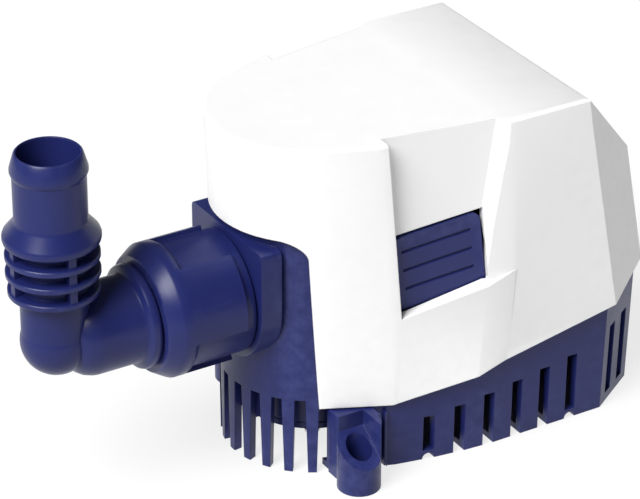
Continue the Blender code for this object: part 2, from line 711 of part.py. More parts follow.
def make_base(mats):
    base = base_solid()
    cut(base, base_cavity(), above_base_wall(), cover_skirt())
    cut(base, cylinder(BASE_BITE_R, -1.0, BASE_FLOOR + 1.0, (0, 0, 0), "Z", 48))
    add(base, *both_sides(foot_solid()))
    for tool in side_slots() + facet_slots():
        cut(base, *both_sides(tool))
    for tool in foot_cuts():
        cut(base, *both_sides(tool))
    for y in REAR_SLOTS:
        cut(base, box((90.0, y - 1.8, SLOT_SILL), (110.0, y + 1.8, FACET_SLOT_TOP)))
    for side in (-1, 1):
        ear_end = side * (ARM_HALF + 0.3)
        ear = tab_block(min(ear_end, ear_end + side * 2.2), max(ear_end, ear_end + side * 2.2),
                        -0.6, ARM_OFFSET + TAB_THICK + 1.2, BASE_FLOOR - 0.5, TAB_PIVOT_Z + 2.6)
        add(base, *both_sides(ear))
    hole = along_tab(cylinder(1.5, -ARM_HALF - 4.0, ARM_HALF + 4.0, (0, 0, 0), "Z", 12))
    swing = along_tab(cylinder(BARREL_R + GAP, -ARM_HALF - GAP, ARM_HALF + GAP, (0, 0, 0), "Z", 16))
    cut(base, *both_sides(hole), *both_sides(swing))
    return piece(base, "strainer_base", mats["navy"])


# -------------------------------------------------------------- pump housing
def panel_solid():
    """Curved front panel with the comb below it."""
    outer = turned([(0, 0), (BASE_R, 0), (BASE_R + 0.4, WINDOW_TOP_Z - GAP), (0, WINDOW_TOP_Z - GAP)],
                   (0, 0, 0), "Z", 72)
    cut(outer, cylinder(BASE_R - PANEL_WALL, -1.0, 90.0, (0, 0, 0), "Z", 72))
    common(outer, window_panel_tool())
    first = int(COMB_LAST / COMB_PITCH)
    for i in range(-first - 1, first + 1):
        angle = math.radians(180.0 + (i + 0.5) * COMB_PITCH)
        direction = Vector((math.cos(angle), math.sin(angle)))
        across = Vector((-direction.y, direction.x))
        pitch = BASE_R * math.radians(COMB_PITCH)
        half_top, half_low = 0.5 * (pitch - COMB_TOOTH_TOP), 0.5 * (pitch - COMB_TOOTH_LOW)
        outward = 0.5 if abs(i + 0.5) < first else 2.2
        rings = []
        for z, half in ((-1.0, half_low), (COMB_TOP_Z, half_top)):
            side = 1 if i > 0 else -1
            low = half + (outward if side < 0 else 0.0) if outward > 1 else half
            high = half + (outward if side > 0 else 0.0) if outward > 1 else half
            plan = [direction * 20 - across * low, direction * 33 - across * low,
                    direction * 33 + across * high, direction * 20 + across * high]
            rings.append([(p.x, p.y, z) for p in plan])
        cut(outer, rings_mesh(rings, "tool"))
    return outer


def window_panel_tool():
    """The cover's window less the running gap, as a keeper for the panel."""
    half, top, r = WINDOW_HALF_Y - GAP, WINDOW_TOP_Z - GAP, WINDOW_CORNER
    outline = [(-half, -1.0)]
    outline += [(-half + r - r * math.cos(a), top - r + r * math.sin(a))
                for a in (math.radians(15 * i) for i in range(7))]
    outline += [(-y, z) for y, z in reversed(outline)]
    return front_prism(outline, -60.0, PANEL_END_X)


def boss_outline(grow=0.0):
    half = BOSS_HALF_Y + grow
    outline = [(-half, BOSS_TOP_Z + grow)]
    outline += [(half * math.cos(a), OUT_Z + half * math.sin(a))
                for a in (math.radians(180 + 15 * i) for i in range(13))]
    outline += [(half, BOSS_TOP_Z + grow)]
    return outline


def make_housing(mats):
    housing = panel_solid()
    deck = hull_solid(WALL + 2 * GAP)
    common(deck, box((-40, -60, DECK_Z0), (120, 60, DECK_Z1)))
    notch = box((3.0, -60.0, DECK_Z0 - 1), (44.0, -26.5, DECK_Z1 + 1))
    cut(deck, *both_sides(notch))
    add(housing, deck)
    add(housing, cylinder(VOLUTE_R, VOLUTE_Z0, DECK_Z0 + 0.5, (0, 0, 0), "Z", 40))
    riser_back, riser_front = RISER_BACK_X + RISER_WALL, RISER_FRONT_X - RISER_WALL
    add(housing, box((riser_front, -11.5, 30.0), (riser_back, 11.5, 72.0)))
    add(housing, box((riser_front, -7.8, VOLUTE_Z0), (riser_back, 7.8, 30.5)))
    add(housing, front_prism(boss_outline(), BOSS_FACE_X, -22.0))
    add(housing, cylinder(SPIGOT_R, -1.0, BOSS_FACE_X - SPIGOT_END_X, (BOSS_FACE_X, 0, OUT_Z), "-X"))
    add(housing, tube(MOTOR_R + 2.2, MOTOR_R + GAP, DECK_Z1 - 0.5, DECK_Z1 + 3.0, (0, 0, 0), "Z", 40))
    px, pz = FLOAT_PIVOT
    ear = [(px - 4, DECK_Z0 + 0.5), (px - 4, pz - 3.4), (px + 4, pz - 3.4), (px + 4, DECK_Z0 + 0.5)]
    add(housing, *both_sides(side_prism(ear, -19.0, -16.2)))
    cut(housing, cylinder(CHAMBER_R, VOLUTE_Z0 - 1, CHAMBER_Z1, (0, 0, 0), "Z", 40))
    cut(housing, box((RISER_FRONT_X, -6.0, 17.0), (RISER_BACK_X, 6.0, 70.0)))
    cut(housing, box((RISER_FRONT_X, -6.0, 17.0), (-12.0, 6.0, CHAMBER_Z1)))
    cut(housing, cylinder(MOTOR_R + GAP, WELL_Z, 60.0, (0, 0, 0), "Z", 40))
    cut(housing, cylinder(BORE_R, 0.0, 60.0, (-18.0, 0, OUT_Z), "-X"))
    cut(housing, cylinder(SHAFT_R + 0.6, CHAMBER_Z1 - 1.0, 60.0, (0, 0, 0), "Z", 16))
    cut(housing, cylinder(SEAL_R + GAP, SEAL_Z0 - GAP, 60.0, (0, 0, 0), "Z", 20))
    cut(housing, cylinder(FLOAT_PIN_R + GAP, -25.0, 25.0, (FLOAT_PIVOT[0], 0, FLOAT_PIVOT[1]), "Y", 12))
    for x, y in screw_places():
        cut(housing, cylinder(SCREW_R + GAP, VOLUTE_Z0 - 1, VOLUTE_Z0 + 8.6, (x, y, 0), "Z", 10))
    return piece(housing, "pump_housing", mats["navy"])


def screw_places():
    radius = 0.5 * (CHAMBER_R + VOLUTE_R)
    return arc_points(radius, 0.0, 240.0, 3)


def make_volute_plate(mats):
    z0, z1 = VOLUTE_Z0 - GAP - 2.2, VOLUTE_Z0 - GAP
    lip = INLET_R + 1.6
    profile = [(INLET_R, z0 - 2.0), (lip, z0 - 2.0), (lip, z0), (VOLUTE_R, z0), (VOLUTE_R, z1), (INLET_R, z1)]
    plate = turned(profile, (0, 0, 0), "Z", 40)
    for x, y in screw_places():
        cut(plate, cylinder(SCREW_R + GAP, z0 - 1, z1 + 1, (x, y, 0), "Z", 10))
    piece(plate, "volute_plate", mats["navy"])
    for i, (x, y) in enumerate(screw_places()):
        head, tip = z0 - GAP, z1 + 8.0
        profile = [(0, head - 1.6), (2.4, head - 1.2), (2.6, head), (SCREW_R, head), (SCREW_R, tip), (0, tip)]
        screw = turned(profile, (x, y, 0), "Z", 10)
        piece(screw, f"volute_screw_{i + 1}", mats["steel"])


# --------------------------------------------------------- motor and impeller
def make_impeller(mats):
    disc_z = IMPELLER_Z1 - 1.8
    impeller = cylinder(4.2, IMPELLER_Z0, IMPELLER_Z1, (0, 0, 0), "Z", 20)
    add(impeller, cylinder(IMPELLER_R, disc_z, IMPELLER_Z1, (0, 0, 0), "Z", 32))
    for i in range(6):
        start = math.radians(60 * i)
        inner, outer = [], []
        for k in range(6):
            share = k / 5
            radius, angle = lerp(3.4, IMPELLER_R - 0.6, share), start - 0.9 * share
            inner.append((radius * math.cos(angle), radius * math.sin(angle)))
            angle += 1.3 / radius
            outer.append((radius * math.cos(angle), radius * math.sin(angle)))
        add(impeller, prism(inner + outer[::-1], IMPELLER_Z0, disc_z + 0.4))
    cut(impeller, cylinder(SHAFT_R + GAP, 10.0, 50.0, (0, 0, 0), "Z", 16))
    return piece(impeller, "impeller", mats["cream"])


def make_rotor(mats):
    z = MOTOR_Z0
    piece(cylinder(SHAFT_R, SHAFT_Z0, SHAFT_Z1, (0, 0, 0), "Z", 16), "motor_shaft", mats["steel"])
    core = tube(9.4, SHAFT_R + GAP, z + 10.8, z + 30.8, (0, 0, 0), "Z", 40)
    for i in range(5):
        angle = math.radians(72 * i)
        slot = box((5.2, -1.3, z), (11.0, 1.3, z + 40.0))
        slot.data.transform(Matrix.Rotation(angle, 4, "Z"))
        cut(core, slot)
    piece(core, "armature_core", mats["ferrite"])
    for name, z0 in (("armature_winding_lower", z + 6.4), ("armature_winding_upper", z + 31.1)):
        profile = [(3.4, z0), (7.4, z0), (8.8, z0 + 1.4), (8.8, z0 + 2.7), (7.4, z0 + 4.1), (3.4, z0 + 4.1)]
        piece(turned(profile, (0, 0, 0), "Z", 24), name, mats["copper"])
    piece(tube(4.2, SHAFT_R + GAP, z + 37.2, z + 45.4, (0, 0, 0), "Z", 24), "commutator", mats["copper"])
    collar = tube(3.0, SHAFT_R + GAP, IMPELLER_Z0 - 2.9, IMPELLER_Z0 - GAP, (0, 0, 0), "Z", 12)
    piece(collar, "impeller_collar", mats["steel"])


def make_motor(mats):
    wall = 1.2
    can = turned([(3.4, MOTOR_Z0), (MOTOR_R, MOTOR_Z0), (MOTOR_R, MOTOR_Z1), (MOTOR_R - wall, MOTOR_Z1),
                  (MOTOR_R - wall, MOTOR_Z0 + wall), (3.4, MOTOR_Z0 + wall)], (0, 0, 0), "Z", 40)
    piece(can, "motor_can", mats["steel"])
    z = MOTOR_Z1 + GAP
    cap = turned([(3.4, z), (MOTOR_R, z), (MOTOR_R, z + 2.4), (6.0, z + 2.4), (6.0, z + 4.6), (3.4, z + 4.6)],
                 (0, 0, 0), "Z", 40)
    piece(cap, "motor_end_cap", mats["cream"])
    for name, z0, z1 in (("lower_bush", MOTOR_Z0 - 0.5, MOTOR_Z0 + 4.0), ("upper_bush", z, z + 4.6)):
        piece(tube(3.1, SHAFT_R + GAP, z0, z1, (0, 0, 0), "Z", 20), name, mats["bronze"])
    for name, middle in (("magnet_left", 90.0), ("magnet_right", 270.0)):
        outline = arc_points(13.5, middle - 62, middle + 62, 14)
        outline += arc_points(10.4, middle + 62, middle - 62, 14)
        piece(prism(outline, MOTOR_Z0 + 7.8, MOTOR_Z0 + 34.8), name, mats["ferrite"])
    low = MOTOR_Z0 + 38.4
    holder = tube(13.4, 9.6, low, low + 1.4, (0, 0, 0), "Z", 32)
    for side in (-1, 1):
        near, far = sorted((side * 5.6, side * 10.4))
        add(holder, box((near, -2.8, low), (far, 2.8, low + 6.0)))
        cut(holder, box((near - 0.6, -1.8, low + 1.2), (far + 0.6, 1.8, low + 5.0)))
    piece(holder, "brush_holder", mats["cream"])
    for name, side in (("brush_left", -1), ("brush_right", 1)):
        near, far = sorted((side * 4.5, side * 9.8))
        brush = box((near, -1.5, low + 1.5), (far, 1.5, low + 4.7))
        piece(brush, name, mats["carbon"])
    piece(tube(SEAL_R, SHAFT_R + GAP, SEAL_Z0, WELL_Z - 0.2, (0, 0, 0), "Z", 20), "shaft_seal", mats["rubber"])


# -------------------------------------------------------------- float switch
def make_float(mats):
    px, pz = FLOAT_PIVOT
    x0, x1 = FLOAT_X
    z0, z1 = FLOAT_Z
    outline = [(x0 + 2, z0), (x1 - 4, z0), (x1, z0 + 4), (x1, z1 - 3), (x1 - 3, z1), (x0, z1), (x0, z0 + 2)]
    block = side_prism(outline, -FLOAT_HALF_Y, FLOAT_HALF_Y)
    add(block, side_prism([(px - 2.6, pz - 2.2), (px + 2.2, pz + 2.6), (x0 + 10, z1 + 1), (x0 + 10, z1 - 3),
                           (x0 + 1, z1 - 6)], -7.0, 7.0))
    add(block, cylinder(3.8, -15.6, 15.6, (px, 0, pz), "Y", 20))
    cut(block, cylinder(FLOAT_PIN_R + GAP, -30.0, 30.0, (px, 0, pz), "Y", 12))
    cut(block, cylinder(4.3, z1 - 3.4, z1 + 5, (x1 - 12, 0, 0), "Z", 20))
    origin = (px, 0, pz)
    piece(block, "float", mats["cream"], origin)
    piece(cylinder(4.0, z1 - 3.1, z1 - 0.2, (x1 - 12, 0, 0), "Z", 20), "float_magnet", mats["ferrite"], origin)
    piece(cylinder(FLOAT_PIN_R, -18.8, 18.8, (px, 0, pz), "Y", 12), "float_pin", mats["steel"])


def make_switch(mats):
    z = DECK_Z1 + GAP
    piece(box((58.0, -10.0, z), (92.0, 10.0, z + 1.6)), "circuit_board", mats["board"])
    reed = cylinder(1.6, -8.0, 8.0, (80.0, 0, z + 1.6 + GAP + 1.6), "X", 12)
    piece(reed, "reed_switch", mats["cream"])
    chip = box((63.0, -4.0, z + 1.6 + GAP), (69.0, 4.0, z + 6.0))
    piece(chip, "switching_transistor", mats["rubber"])


def make_gland(mats):
    back, neck = GLAND_R + 1.2, GLAND_R - GAP
    profile = [(GLAND_HOLE_R, -4.6), (back, -4.6), (back, -WALL - GAP), (neck, -WALL - GAP), (neck, GAP),
               (GLAND_FLANGE_R, GAP), (GLAND_FLANGE_R - 0.8, 1.8), (4.6, 2.2), (3.8, 3.4), (GLAND_HOLE_R, 3.4)]
    return piece(aim_at_wall(turned(profile, (0, 0, 0), "Z", 20)), "cable_gland", mats["rubber"])


# --------------------------------------------------------------------- outlet
def make_nut(mats):
    back, front = -NUT_BACK_X, -NUT_FRONT_X
    profile = [(SPIGOT_R + GAP, back), (18.4, back), (18.8, back + 0.8), (18.8, front - 9.4), (20.4, front - 7.6),
               (20.4, front - 4.6), (17.6, front), (NUT_LIP_R, front), (NUT_LIP_R, front - 5.0),
               (SPIGOT_R + GAP, front - 6.2)]
    nut = turned(profile, (0, 0, OUT_Z), "-X", 40)
    for start in NUT_LUG_STARTS:
        end = start + NUT_LUG_SPAN
        outline = arc_points(NUT_LUG_R, -end, -start, 9) + arc_points(NUT_LUG_R - 2.9, -start, -end, 9)
        add(nut, turn_to_outlet(prism(outline, *NUT_LUG_REACH)))
    return piece(nut, "discharge_nut", mats["navy"], (NUT_BACK_X, 0, OUT_Z))


def turn_to_outlet(obj):
    """From +Z at the origin to -X on the outlet axis."""
    obj.data.transform(Matrix.Translation((0, 0, OUT_Z)) @ Matrix.Rotation(-math.pi / 2, 4, "Y"))
    return obj


def elbow_level():
    """Horizontal branch as (radius, distance from the motor axis) pairs."""
    start, flange = 48.6, -NUT_FRONT_X
    wide = ELBOW_WIDE_R
    return [(0, start), (15.0, start), (15.0, start + 1.8), (11.6, start + 2.2), (11.6, flange + 0.4),
            (14.9, flange + 0.6), (15.8, flange + 1.4), (15.8, flange + 2.8), (14.9, flange + 3.8),
            (wide, flange + 4.4), (wide, 76.5), (12.4, 79.5), (ELBOW_R, 82.0), (ELBOW_R, -ELBOW_X), (0, -ELBOW_X)]


def elbow_upright():
    """Vertical branch with its discs, collar and barb as (radius, height) pairs."""
    profile = [(0, OUT_Z), (ELBOW_R, OUT_Z)]
    for z, radius in ELBOW_DISCS:
        profile += [(ELBOW_R, z - 1.2), (radius, z - 0.9), (radius, z + 0.9), (ELBOW_R, z + 1.2)]
    profile += [(ELBOW_R, 87.8), (13.7, 88.4), (14.2, 89.2), (14.2, 90.6), (10.8, 94.6), (10.6, 109.2),
                (11.2, 110.2), (11.2, 111.4), (9.95, ELBOW_TOP_Z), (0, ELBOW_TOP_Z)]
    return profile


def ball(radius, centre, name="tool"):
    count = ELBOW_SIDES // 2
    profile = [(radius * math.sin(math.pi * i / count), -radius * math.cos(math.pi * i / count))
               for i in range(count + 1)]
    return turned(profile, centre, "Z", ELBOW_SIDES, name)


def make_elbow(mats):
    corner = (ELBOW_X, 0, OUT_Z)
    elbow = turned(elbow_level(), (0, 0, OUT_Z), "-X", ELBOW_SIDES)
    add(elbow, turned(elbow_upright(), (ELBOW_X, 0, 0), "Z", ELBOW_SIDES))
    add(elbow, ball(ELBOW_R + 0.5, corner))
    half, low, high = 0.5 * ELBOW_WEB, ELBOW_DISCS[0][0], 88.8
    add(elbow, box((ELBOW_X - ELBOW_WEB_R, -half, low), (ELBOW_X + ELBOW_WEB_R, half, high)))
    add(elbow, box((ELBOW_X - half, -ELBOW_WEB_R, low), (ELBOW_X + half, ELBOW_WEB_R, high)))
    cut(elbow, cylinder(ELBOW_BORE, 40.0, -ELBOW_X, (0, 0, OUT_Z), "-X", ELBOW_SIDES))
    wide, end = ELBOW_RIM_BORE, ELBOW_TOP_Z
    bore = [(0, OUT_Z), (ELBOW_BORE, OUT_Z), (ELBOW_BORE, end - 30.0), (wide, end - 24.0), (wide, end + 1.0),
            (0, end + 1.0)]
    cut(elbow, turned(bore, (ELBOW_X, 0, 0), "Z", ELBOW_SIDES))
    cut(elbow, ball(ELBOW_BORE, corner))
    return piece(elbow, "discharge_elbow", mats["navy"], (NUT_FRONT_X, 0, OUT_Z))


def make_outlet_washer(mats):
    ring = turned([(10.0, 46.3), (14.6, 46.3), (14.6, 48.3), (10.0, 48.3)], (0, 0, OUT_Z), "-X", 32)
    return piece(ring, "outlet_washer", mats["rubber"])


def make_check_valve(mats):
    seat = tube(BORE_R - GAP, 6.8, 29.0, 31.0, (0, 0, OUT_Z), "-X", 28)
    for side in (-1, 1):
        y0, y1 = sorted((side * 4.4, side * 5.8))
        add(seat, box((-34.2, y0, FLAP_PIVOT_Z - 1.8), (-30.5, y1, FLAP_PIVOT_Z + 0.4)))
    piece(seat, "check_valve_seat", mats["cream"])
    flap = cylinder(8.0, 31.4, 32.6, (0, 0, OUT_Z), "-X", 28)
    for y0, y1 in ((-9.0, -4.0), (4.0, 9.0)):
        cut(flap, box((-36.0, y0, FLAP_PIVOT_Z - 2.6), (-30.0, y1, FLAP_PIVOT_Z + 6)))
    cut(flap, box((-36.0, -9.0, FLAP_PIVOT_Z + 0.9), (-30.0, 9.0, FLAP_PIVOT_Z + 6)))
    add(flap, cylinder(0.9, -4.0, 4.0, (FLAP_PIVOT_X, 0, FLAP_PIVOT_Z), "Y", 10))
    piece(flap, "check_valve_flap", mats["rubber"], (FLAP_PIVOT_X, 0, FLAP_PIVOT_Z))


# ----------------------------------------------------------------------- main
def main():
    clear_scene()
    looks = {"navy": NAVY, "navy_tab": NAVY_TAB, "white": WHITE, "steel": STEEL, "copper": COPPER,
             "bronze": BRONZE, "carbon": CARBON, "ferrite": FERRITE, "rubber": RUBBER, "cream": CREAM,
             "board": BOARD}
    mats = {name: material(name, look) for name, look in looks.items()}
    make_cover(mats)
    make_tabs(mats)
    make_base(mats)
    make_housing(mats)
    make_volute_plate(mats)
    make_impeller(mats)
    make_rotor(mats)
    make_motor(mats)
    make_float(mats)
    make_switch(mats)
    make_gland(mats)
    make_nut(mats)
    make_elbow(mats)
    make_outlet_washer(mats)
    make_check_valve(mats)


main()
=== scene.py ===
"""Looks of the automatic bilge pump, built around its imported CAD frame.

Shapes are made in millimetres from the motor axis; placed() brings them to the frame.
"""

import math

import bmesh
import bpy
from mathutils import Matrix, Vector


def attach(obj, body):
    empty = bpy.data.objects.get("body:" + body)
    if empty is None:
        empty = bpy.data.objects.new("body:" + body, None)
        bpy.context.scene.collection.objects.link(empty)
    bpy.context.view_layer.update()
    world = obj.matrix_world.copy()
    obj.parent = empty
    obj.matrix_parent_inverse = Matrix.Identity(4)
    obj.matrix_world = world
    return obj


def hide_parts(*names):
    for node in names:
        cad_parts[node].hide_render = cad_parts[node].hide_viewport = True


MM = 0.001
GAP = 0.3                      # clearance between neighbouring pieces, mm
FRAME_X = -2.064               # from the motor axis to the middle of the whole pump
WELD = 0.002                   # points closer than this are one, mm

# ---------------------------------------------------------------- sizes (mm)
TOP_Z = 109.7
WALL = 2.0
EDGE_ROUND = 0.4               # radius of the softened edges
EDGE_ANGLE = 28.0              # an edge that turns more than this is softened, degrees
INNER_BEVEL, INNER_ANGLE = 0.12, 35.0
ROUND = 72                     # sides of an ordinary round piece

# cover
NOSE_R_LOW, NOSE_R_TOP = 28.4, 31.4
NOSE_END = 66.0
SHOULDER_LOW, SHOULDER_TOP = (7.4, -34.9), (2.4, -34.6)
SIDE_LOW, SIDE_TOP = (44.0, -40.7), (46.0, -40.2)
SIDE_REAR_LOW, SIDE_REAR_TOP = -41.1, -40.2
LOFT_LOW_Z = 20.0
BAND_Z = 102.2                 # the walls lean in a little more above this height
BAND_LEAN = 0.35
LID_CHAMFER = 0.9
LID_REAR_X = 70.5
SHOULDER_REAR = (96.2, 81.3)
REAR_FOOT = (102.8, 44.0)
FACET_POINTS = ((70.5, -40.2, 109.7), (83.0, -41.0, 37.5), (102.8, -25.5, 44.0))
COVER_EDGE = ((-40.0, 22.6), (8.0, 22.6), (33.0, 27.6), (43.0, 30.0), (83.0, 37.4), (110.0, 42.2))
WINDOW_HALF_Y, WINDOW_TOP_Z, WINDOW_CORNER = 25.6, 79.5, 6.0
POCKET_A, POCKET_B = (4.3, -30.5), (41.3, -36.8)
POCKET_LEFT = (4.3, 9.9)
POCKET_RIGHT_OUT = (46.0, 37.4)
POCKET_RIGHT_IN = (41.3, 33.3)
LEDGE = ((9.9, 51.3), (47.0, 60.5))
APRON_OUT = 1.2
APRON_CREST, APRON_END = 33.0, 43.4
APRON_LEAN = 3.1

# release tab
TAB_X_TOP, TAB_X_LOW = (8.9, 35.8), (11.7, 38.4)
TAB_TOP_RISE = (76.2, 80.6)
TAB_LOW_RISE = (52.2, 56.4)
TAB_THICK = 2.4
TAB_CORNER = 3.4
TAB_WINDOW_LOW_X = 9.5
TAB_CHEEK = (36.6, 36.0)
TAB_PIVOT_Z = 27.0
ARM_OFFSET, ARM_HALF, BARREL_R = 1.2, 10.5, 2.1
TAB_GROOVES = (59.2, 65.4, 71.6)

# strainer base
BASE_R = 27.7
BASE_START = 71.5
BASE_SIDE = ((10.0, -33.0), (22.4, -35.5), (32.0, -36.8), (41.6, -37.5), (81.3, -37.5), (99.0, -25.9))
BASE_DRAFT = 0.022
BASE_WALL = 2.4
BASE_FLOOR = 2.2
BASE_WALL_TOP = 3.6
BASE_BITE_R = 23.0
SIDE_SLOT_COUNT, SIDE_SLOT_FIRST, SIDE_SLOT_PITCH = 6, 20.1, 9.95
SIDE_SLOT_W = 3.6
SIDE_SLOT_TOP = (15.0, 0.15)
SLOT_DEPTH = 8.0
SLOT_SILL = 3.0
FACET_SLOTS = (0.28, 0.72)
FACET_SLOT_W, FACET_SLOT_TOP = 4.2, 27.0
REAR_SLOTS = (-18.0, -9.0, 0.0, 9.0, 18.0)
FOOT_XY, FOOT_R, FOOT_TOP = (-5.5, -36.9), 6.6, 22.0
FOOT_PAD, FOOT_HOLE_R, FOOT_SINK_R = 8.7, 2.3, 3.9

# front comb and panel
COMB_PITCH, COMB_LAST = 15.0, 60.0
COMB_TOOTH_TOP, COMB_TOOTH_LOW = 4.0, 2.6
COMB_TOP_Z = 25.0
PANEL_WALL = 2.6
PANEL_END_X = -9.3

# outlet
OUT_Z = 55.8
BOSS_HALF_Y, BOSS_TOP_Z = 20.6, 76.2
BOSS_ROOT_X = -22.0
BOSS_FACE_X = -28.8
SPIGOT_R, SPIGOT_END_X = 15.0, -46.0
BORE_R = 9.6
NUT_BACK_X, NUT_FRONT_X = -29.2, -57.8
NUT_BODY_R, NUT_NOSE_R, NUT_LIP_R = 18.8, 17.4, 12.4
NUT_LUG_STARTS, NUT_LUG_SPAN = (30.0, 150.0, 270.0), 68.0
NUT_LUG_R, NUT_LUG_REACH = 20.4, (33.0, 50.2)
NUT_LUG_DEPTH = 2.6
ELBOW_X = -85.0
ELBOW_R, ELBOW_WIDE_R = 10.0, 13.4
ELBOW_START, ELBOW_NECK_R, ELBOW_HEAD_R, ELBOW_FLANGE_R = 48.6, 11.6, 15.0, 15.8
ELBOW_TOP_Z = 116.0
ELBOW_BORE, ELBOW_RIM_BORE = 7.8, 8.9
ELBOW_DISCS = ((72.6, 13.3), (78.4, 13.7), (83.8, 13.7))
ELBOW_WEB, ELBOW_WEB_R, ELBOW_WEB_TOP = 2.4, 12.8, 88.8
COLLAR_R, BARB_R, BARB_RING_R, BARB_RIM_R = 14.2, 10.6, 11.2, 9.5

# motor side of the housing
DECK_Z0, DECK_Z1 = 43.0, 46.0
WELL_Z = 34.0
MOTOR_R = 15.0
VOLUTE_R, VOLUTE_Z0 = 21.5, 14.0
CHAMBER_R, CHAMBER_Z1 = 17.5, 27.0
RISER_BACK_X, RISER_FRONT_X = -17.4, -22.4
RISER_WALL = 1.7
INLET_R = 7.5
SHAFT_R = 1.6
SEAL_R, SEAL_Z0 = 4.6, 29.6
SCREW_R = 1.2
FLOAT_PIVOT = (41.0, 33.0)
FLOAT_PIN_R = 1.5
GLAND_R, GLAND_FLANGE_R, GLAND_HOLE_R = 4.5, 7.0, 2.4
GLAND_Z = 66.0

# colours, linear
WHITE, WHITE_WORN = (0.80, 0.80, 0.80), (0.87, 0.87, 0.86)
NAVY, NAVY_TAB, NAVY_WORN = (0.012, 0.017, 0.098), (0.013, 0.019, 0.108), (0.05, 0.06, 0.20)
CREAM, CREAM_WORN = (0.70, 0.68, 0.60), (0.80, 0.78, 0.72)

# floor and light
FLOOR_GREY, FLOOR_GLOW = 0.17, 0.78
WORLD_STRENGTH = 0.11
SUN_FROM = (-0.67, -0.235, 0.83)
SUN_ENERGY, SUN_ANGLE = 5.0, 35.0

# camera, metres and degrees
CAMERA_AT = (-0.441964, -0.7391, 0.5343)
CAMERA_TILT, CAMERA_TURN = 61.17, -30.94
CAMERA_LENS = 185.625


# ------------------------------------------------------------------- helpers
def finish_mesh(bm):
    """Weld, face outwards and make an object, still in millimetres."""
    bmesh.ops.remove_doubles(bm, verts=bm.verts, dist=1e-4)
    bmesh.ops.recalc_face_normals(bm, faces=bm.faces)
    mesh = bpy.data.meshes.new("tool")
    bm.to_mesh(mesh)
    bm.free()
    obj = bpy.data.objects.new("tool", mesh)
    bpy.context.scene.collection.objects.link(obj)
    return obj


def rings_mesh(rings):
    """Skin equal rings of points, closing both ends with a face."""
    bm = bmesh.new()
    loops = [[bm.verts.new(p) for p in ring] for ring in rings]
    count = len(rings[0])
    for low, high in zip(loops, loops[1:]):
        for i in range(count):
            j = (i + 1) % count
            bm.faces.new((low[i], low[j], high[j], high[i]))
    bm.faces.new(list(reversed(loops[0])))
    bm.faces.new(loops[-1])
    return finish_mesh(bm)


def prism(points, z0, z1):
    """A plan outline pulled up between two heights."""
    return rings_mesh([[(x, y, z) for x, y in points] for z in (z0, z1)])


def side_prism(points, y0, y1):
    """An outline in the XZ plane pulled along Y."""
    return rings_mesh([[(x, y, z) for x, z in points] for y in (y0, y1)])


def front_prism(points, x0, x1):
    """An outline in the YZ plane pulled along X."""
    return rings_mesh([[(x, y, z) for y, z in points] for x in (x0, x1)])


def box(low, high):
    points = [(low[0], low[1]), (high[0], low[1]), (high[0], high[1]), (low[0], high[1])]
    return prism(points, low[2], high[2])


def turned(profile, centre, axis="Z", steps=ROUND):
    """Turn (radius, height) pairs about an axis; a closed profile gives a ring."""
    bm = bmesh.new()
    turns = [2 * math.pi * i / steps for i in range(steps)]
    rings = []
    for radius, height in profile:
        if radius < 1e-6:
            rings.append([bm.verts.new((0, 0, height))])
            continue
        ring = [(radius * math.cos(t), radius * math.sin(t), height) for t in turns]
        rings.append([bm.verts.new(point) for point in ring])
    hollow = all(radius > 1e-6 for radius, _ in profile)
    pairs = list(zip(rings, rings[1:]))
    if hollow:
        pairs.append((rings[-1], rings[0]))
    for low, high in pairs:
        for i in range(steps):
            j = (i + 1) % steps
            if len(low) == 1 and len(high) == 1:
                continue
            if len(low) == 1:
                bm.faces.new((low[0], high[j], high[i]))
            elif len(high) == 1:
                bm.faces.new((low[i], low[j], high[0]))
            else:
                bm.faces.new((low[i], low[j], high[j], high[i]))
    turn = {"Z": Matrix.Identity(4), "-X": Matrix.Rotation(-math.pi / 2, 4, "Y"),
            "Y": Matrix.Rotation(-math.pi / 2, 4, "X")}[axis]
    bmesh.ops.transform(bm, matrix=Matrix.Translation(Vector(centre)) @ turn, verts=bm.verts)
    return finish_mesh(bm)


def cylinder(radius, low, high, centre, axis="Z", steps=ROUND):
    return turned([(0, low), (radius, low), (radius, high), (0, high)], centre, axis, steps)


def tube(outer, inner, low, high, centre, axis="Z", steps=ROUND):
    profile = [(inner, low), (outer, low), (outer, high), (inner, high)]
    return turned(profile, centre, axis, steps)


def volume(mesh):
    bm = bmesh.new()
    bm.from_mesh(mesh)
    result = bm.calc_volume()
    bm.free()
    return result


def welded(mesh):
    """Merge the boolean's hair-thin edges; say whether the surface is closed."""
    bm = bmesh.new()
    bm.from_mesh(mesh)
    bmesh.ops.remove_doubles(bm, verts=bm.verts, dist=WELD)
    bmesh.ops.dissolve_degenerate(bm, edges=bm.edges, dist=WELD)
    doubled = [f for f in bm.faces if len({g for e in f.edges for g in e.link_faces}) == 2]
    bmesh.ops.delete(bm, geom=doubled, context="FACES")
    closed = all(edge.is_manifold for edge in bm.edges)
    bm.to_mesh(mesh)
    bm.free()
    return closed


def applied(obj, modifier, solver):
    """The boolean's result with one solver: its mesh, whether closed, its volume."""
    modifier.solver = solver
    bpy.context.view_layer.update()
    result = obj.evaluated_get(bpy.context.evaluated_depsgraph_get())
    mesh = bpy.data.meshes.new_from_object(result)
    return mesh, welded(mesh), volume(mesh)


def combine(obj, tool, operation):
    """Apply a boolean and drop the tool: exact, or manifold where exact fails."""
    modifier = obj.modifiers.new("boolean", "BOOLEAN")
    modifier.operation = operation
    modifier.object = tool
    exact, exact_closed, exact_volume = applied(obj, modifier, "EXACT")
    other, other_closed, other_volume = applied(obj, modifier, "MANIFOLD")
    agree = abs(exact_volume - other_volume) <= 0.001 * abs(other_volume) + 0.5
    exact_fails = not exact_closed or (other_closed and not agree)
    obj.modifiers.clear()
    obj.data = other if exact_fails else exact
    bpy.data.objects.remove(tool, do_unlink=True)
    return obj


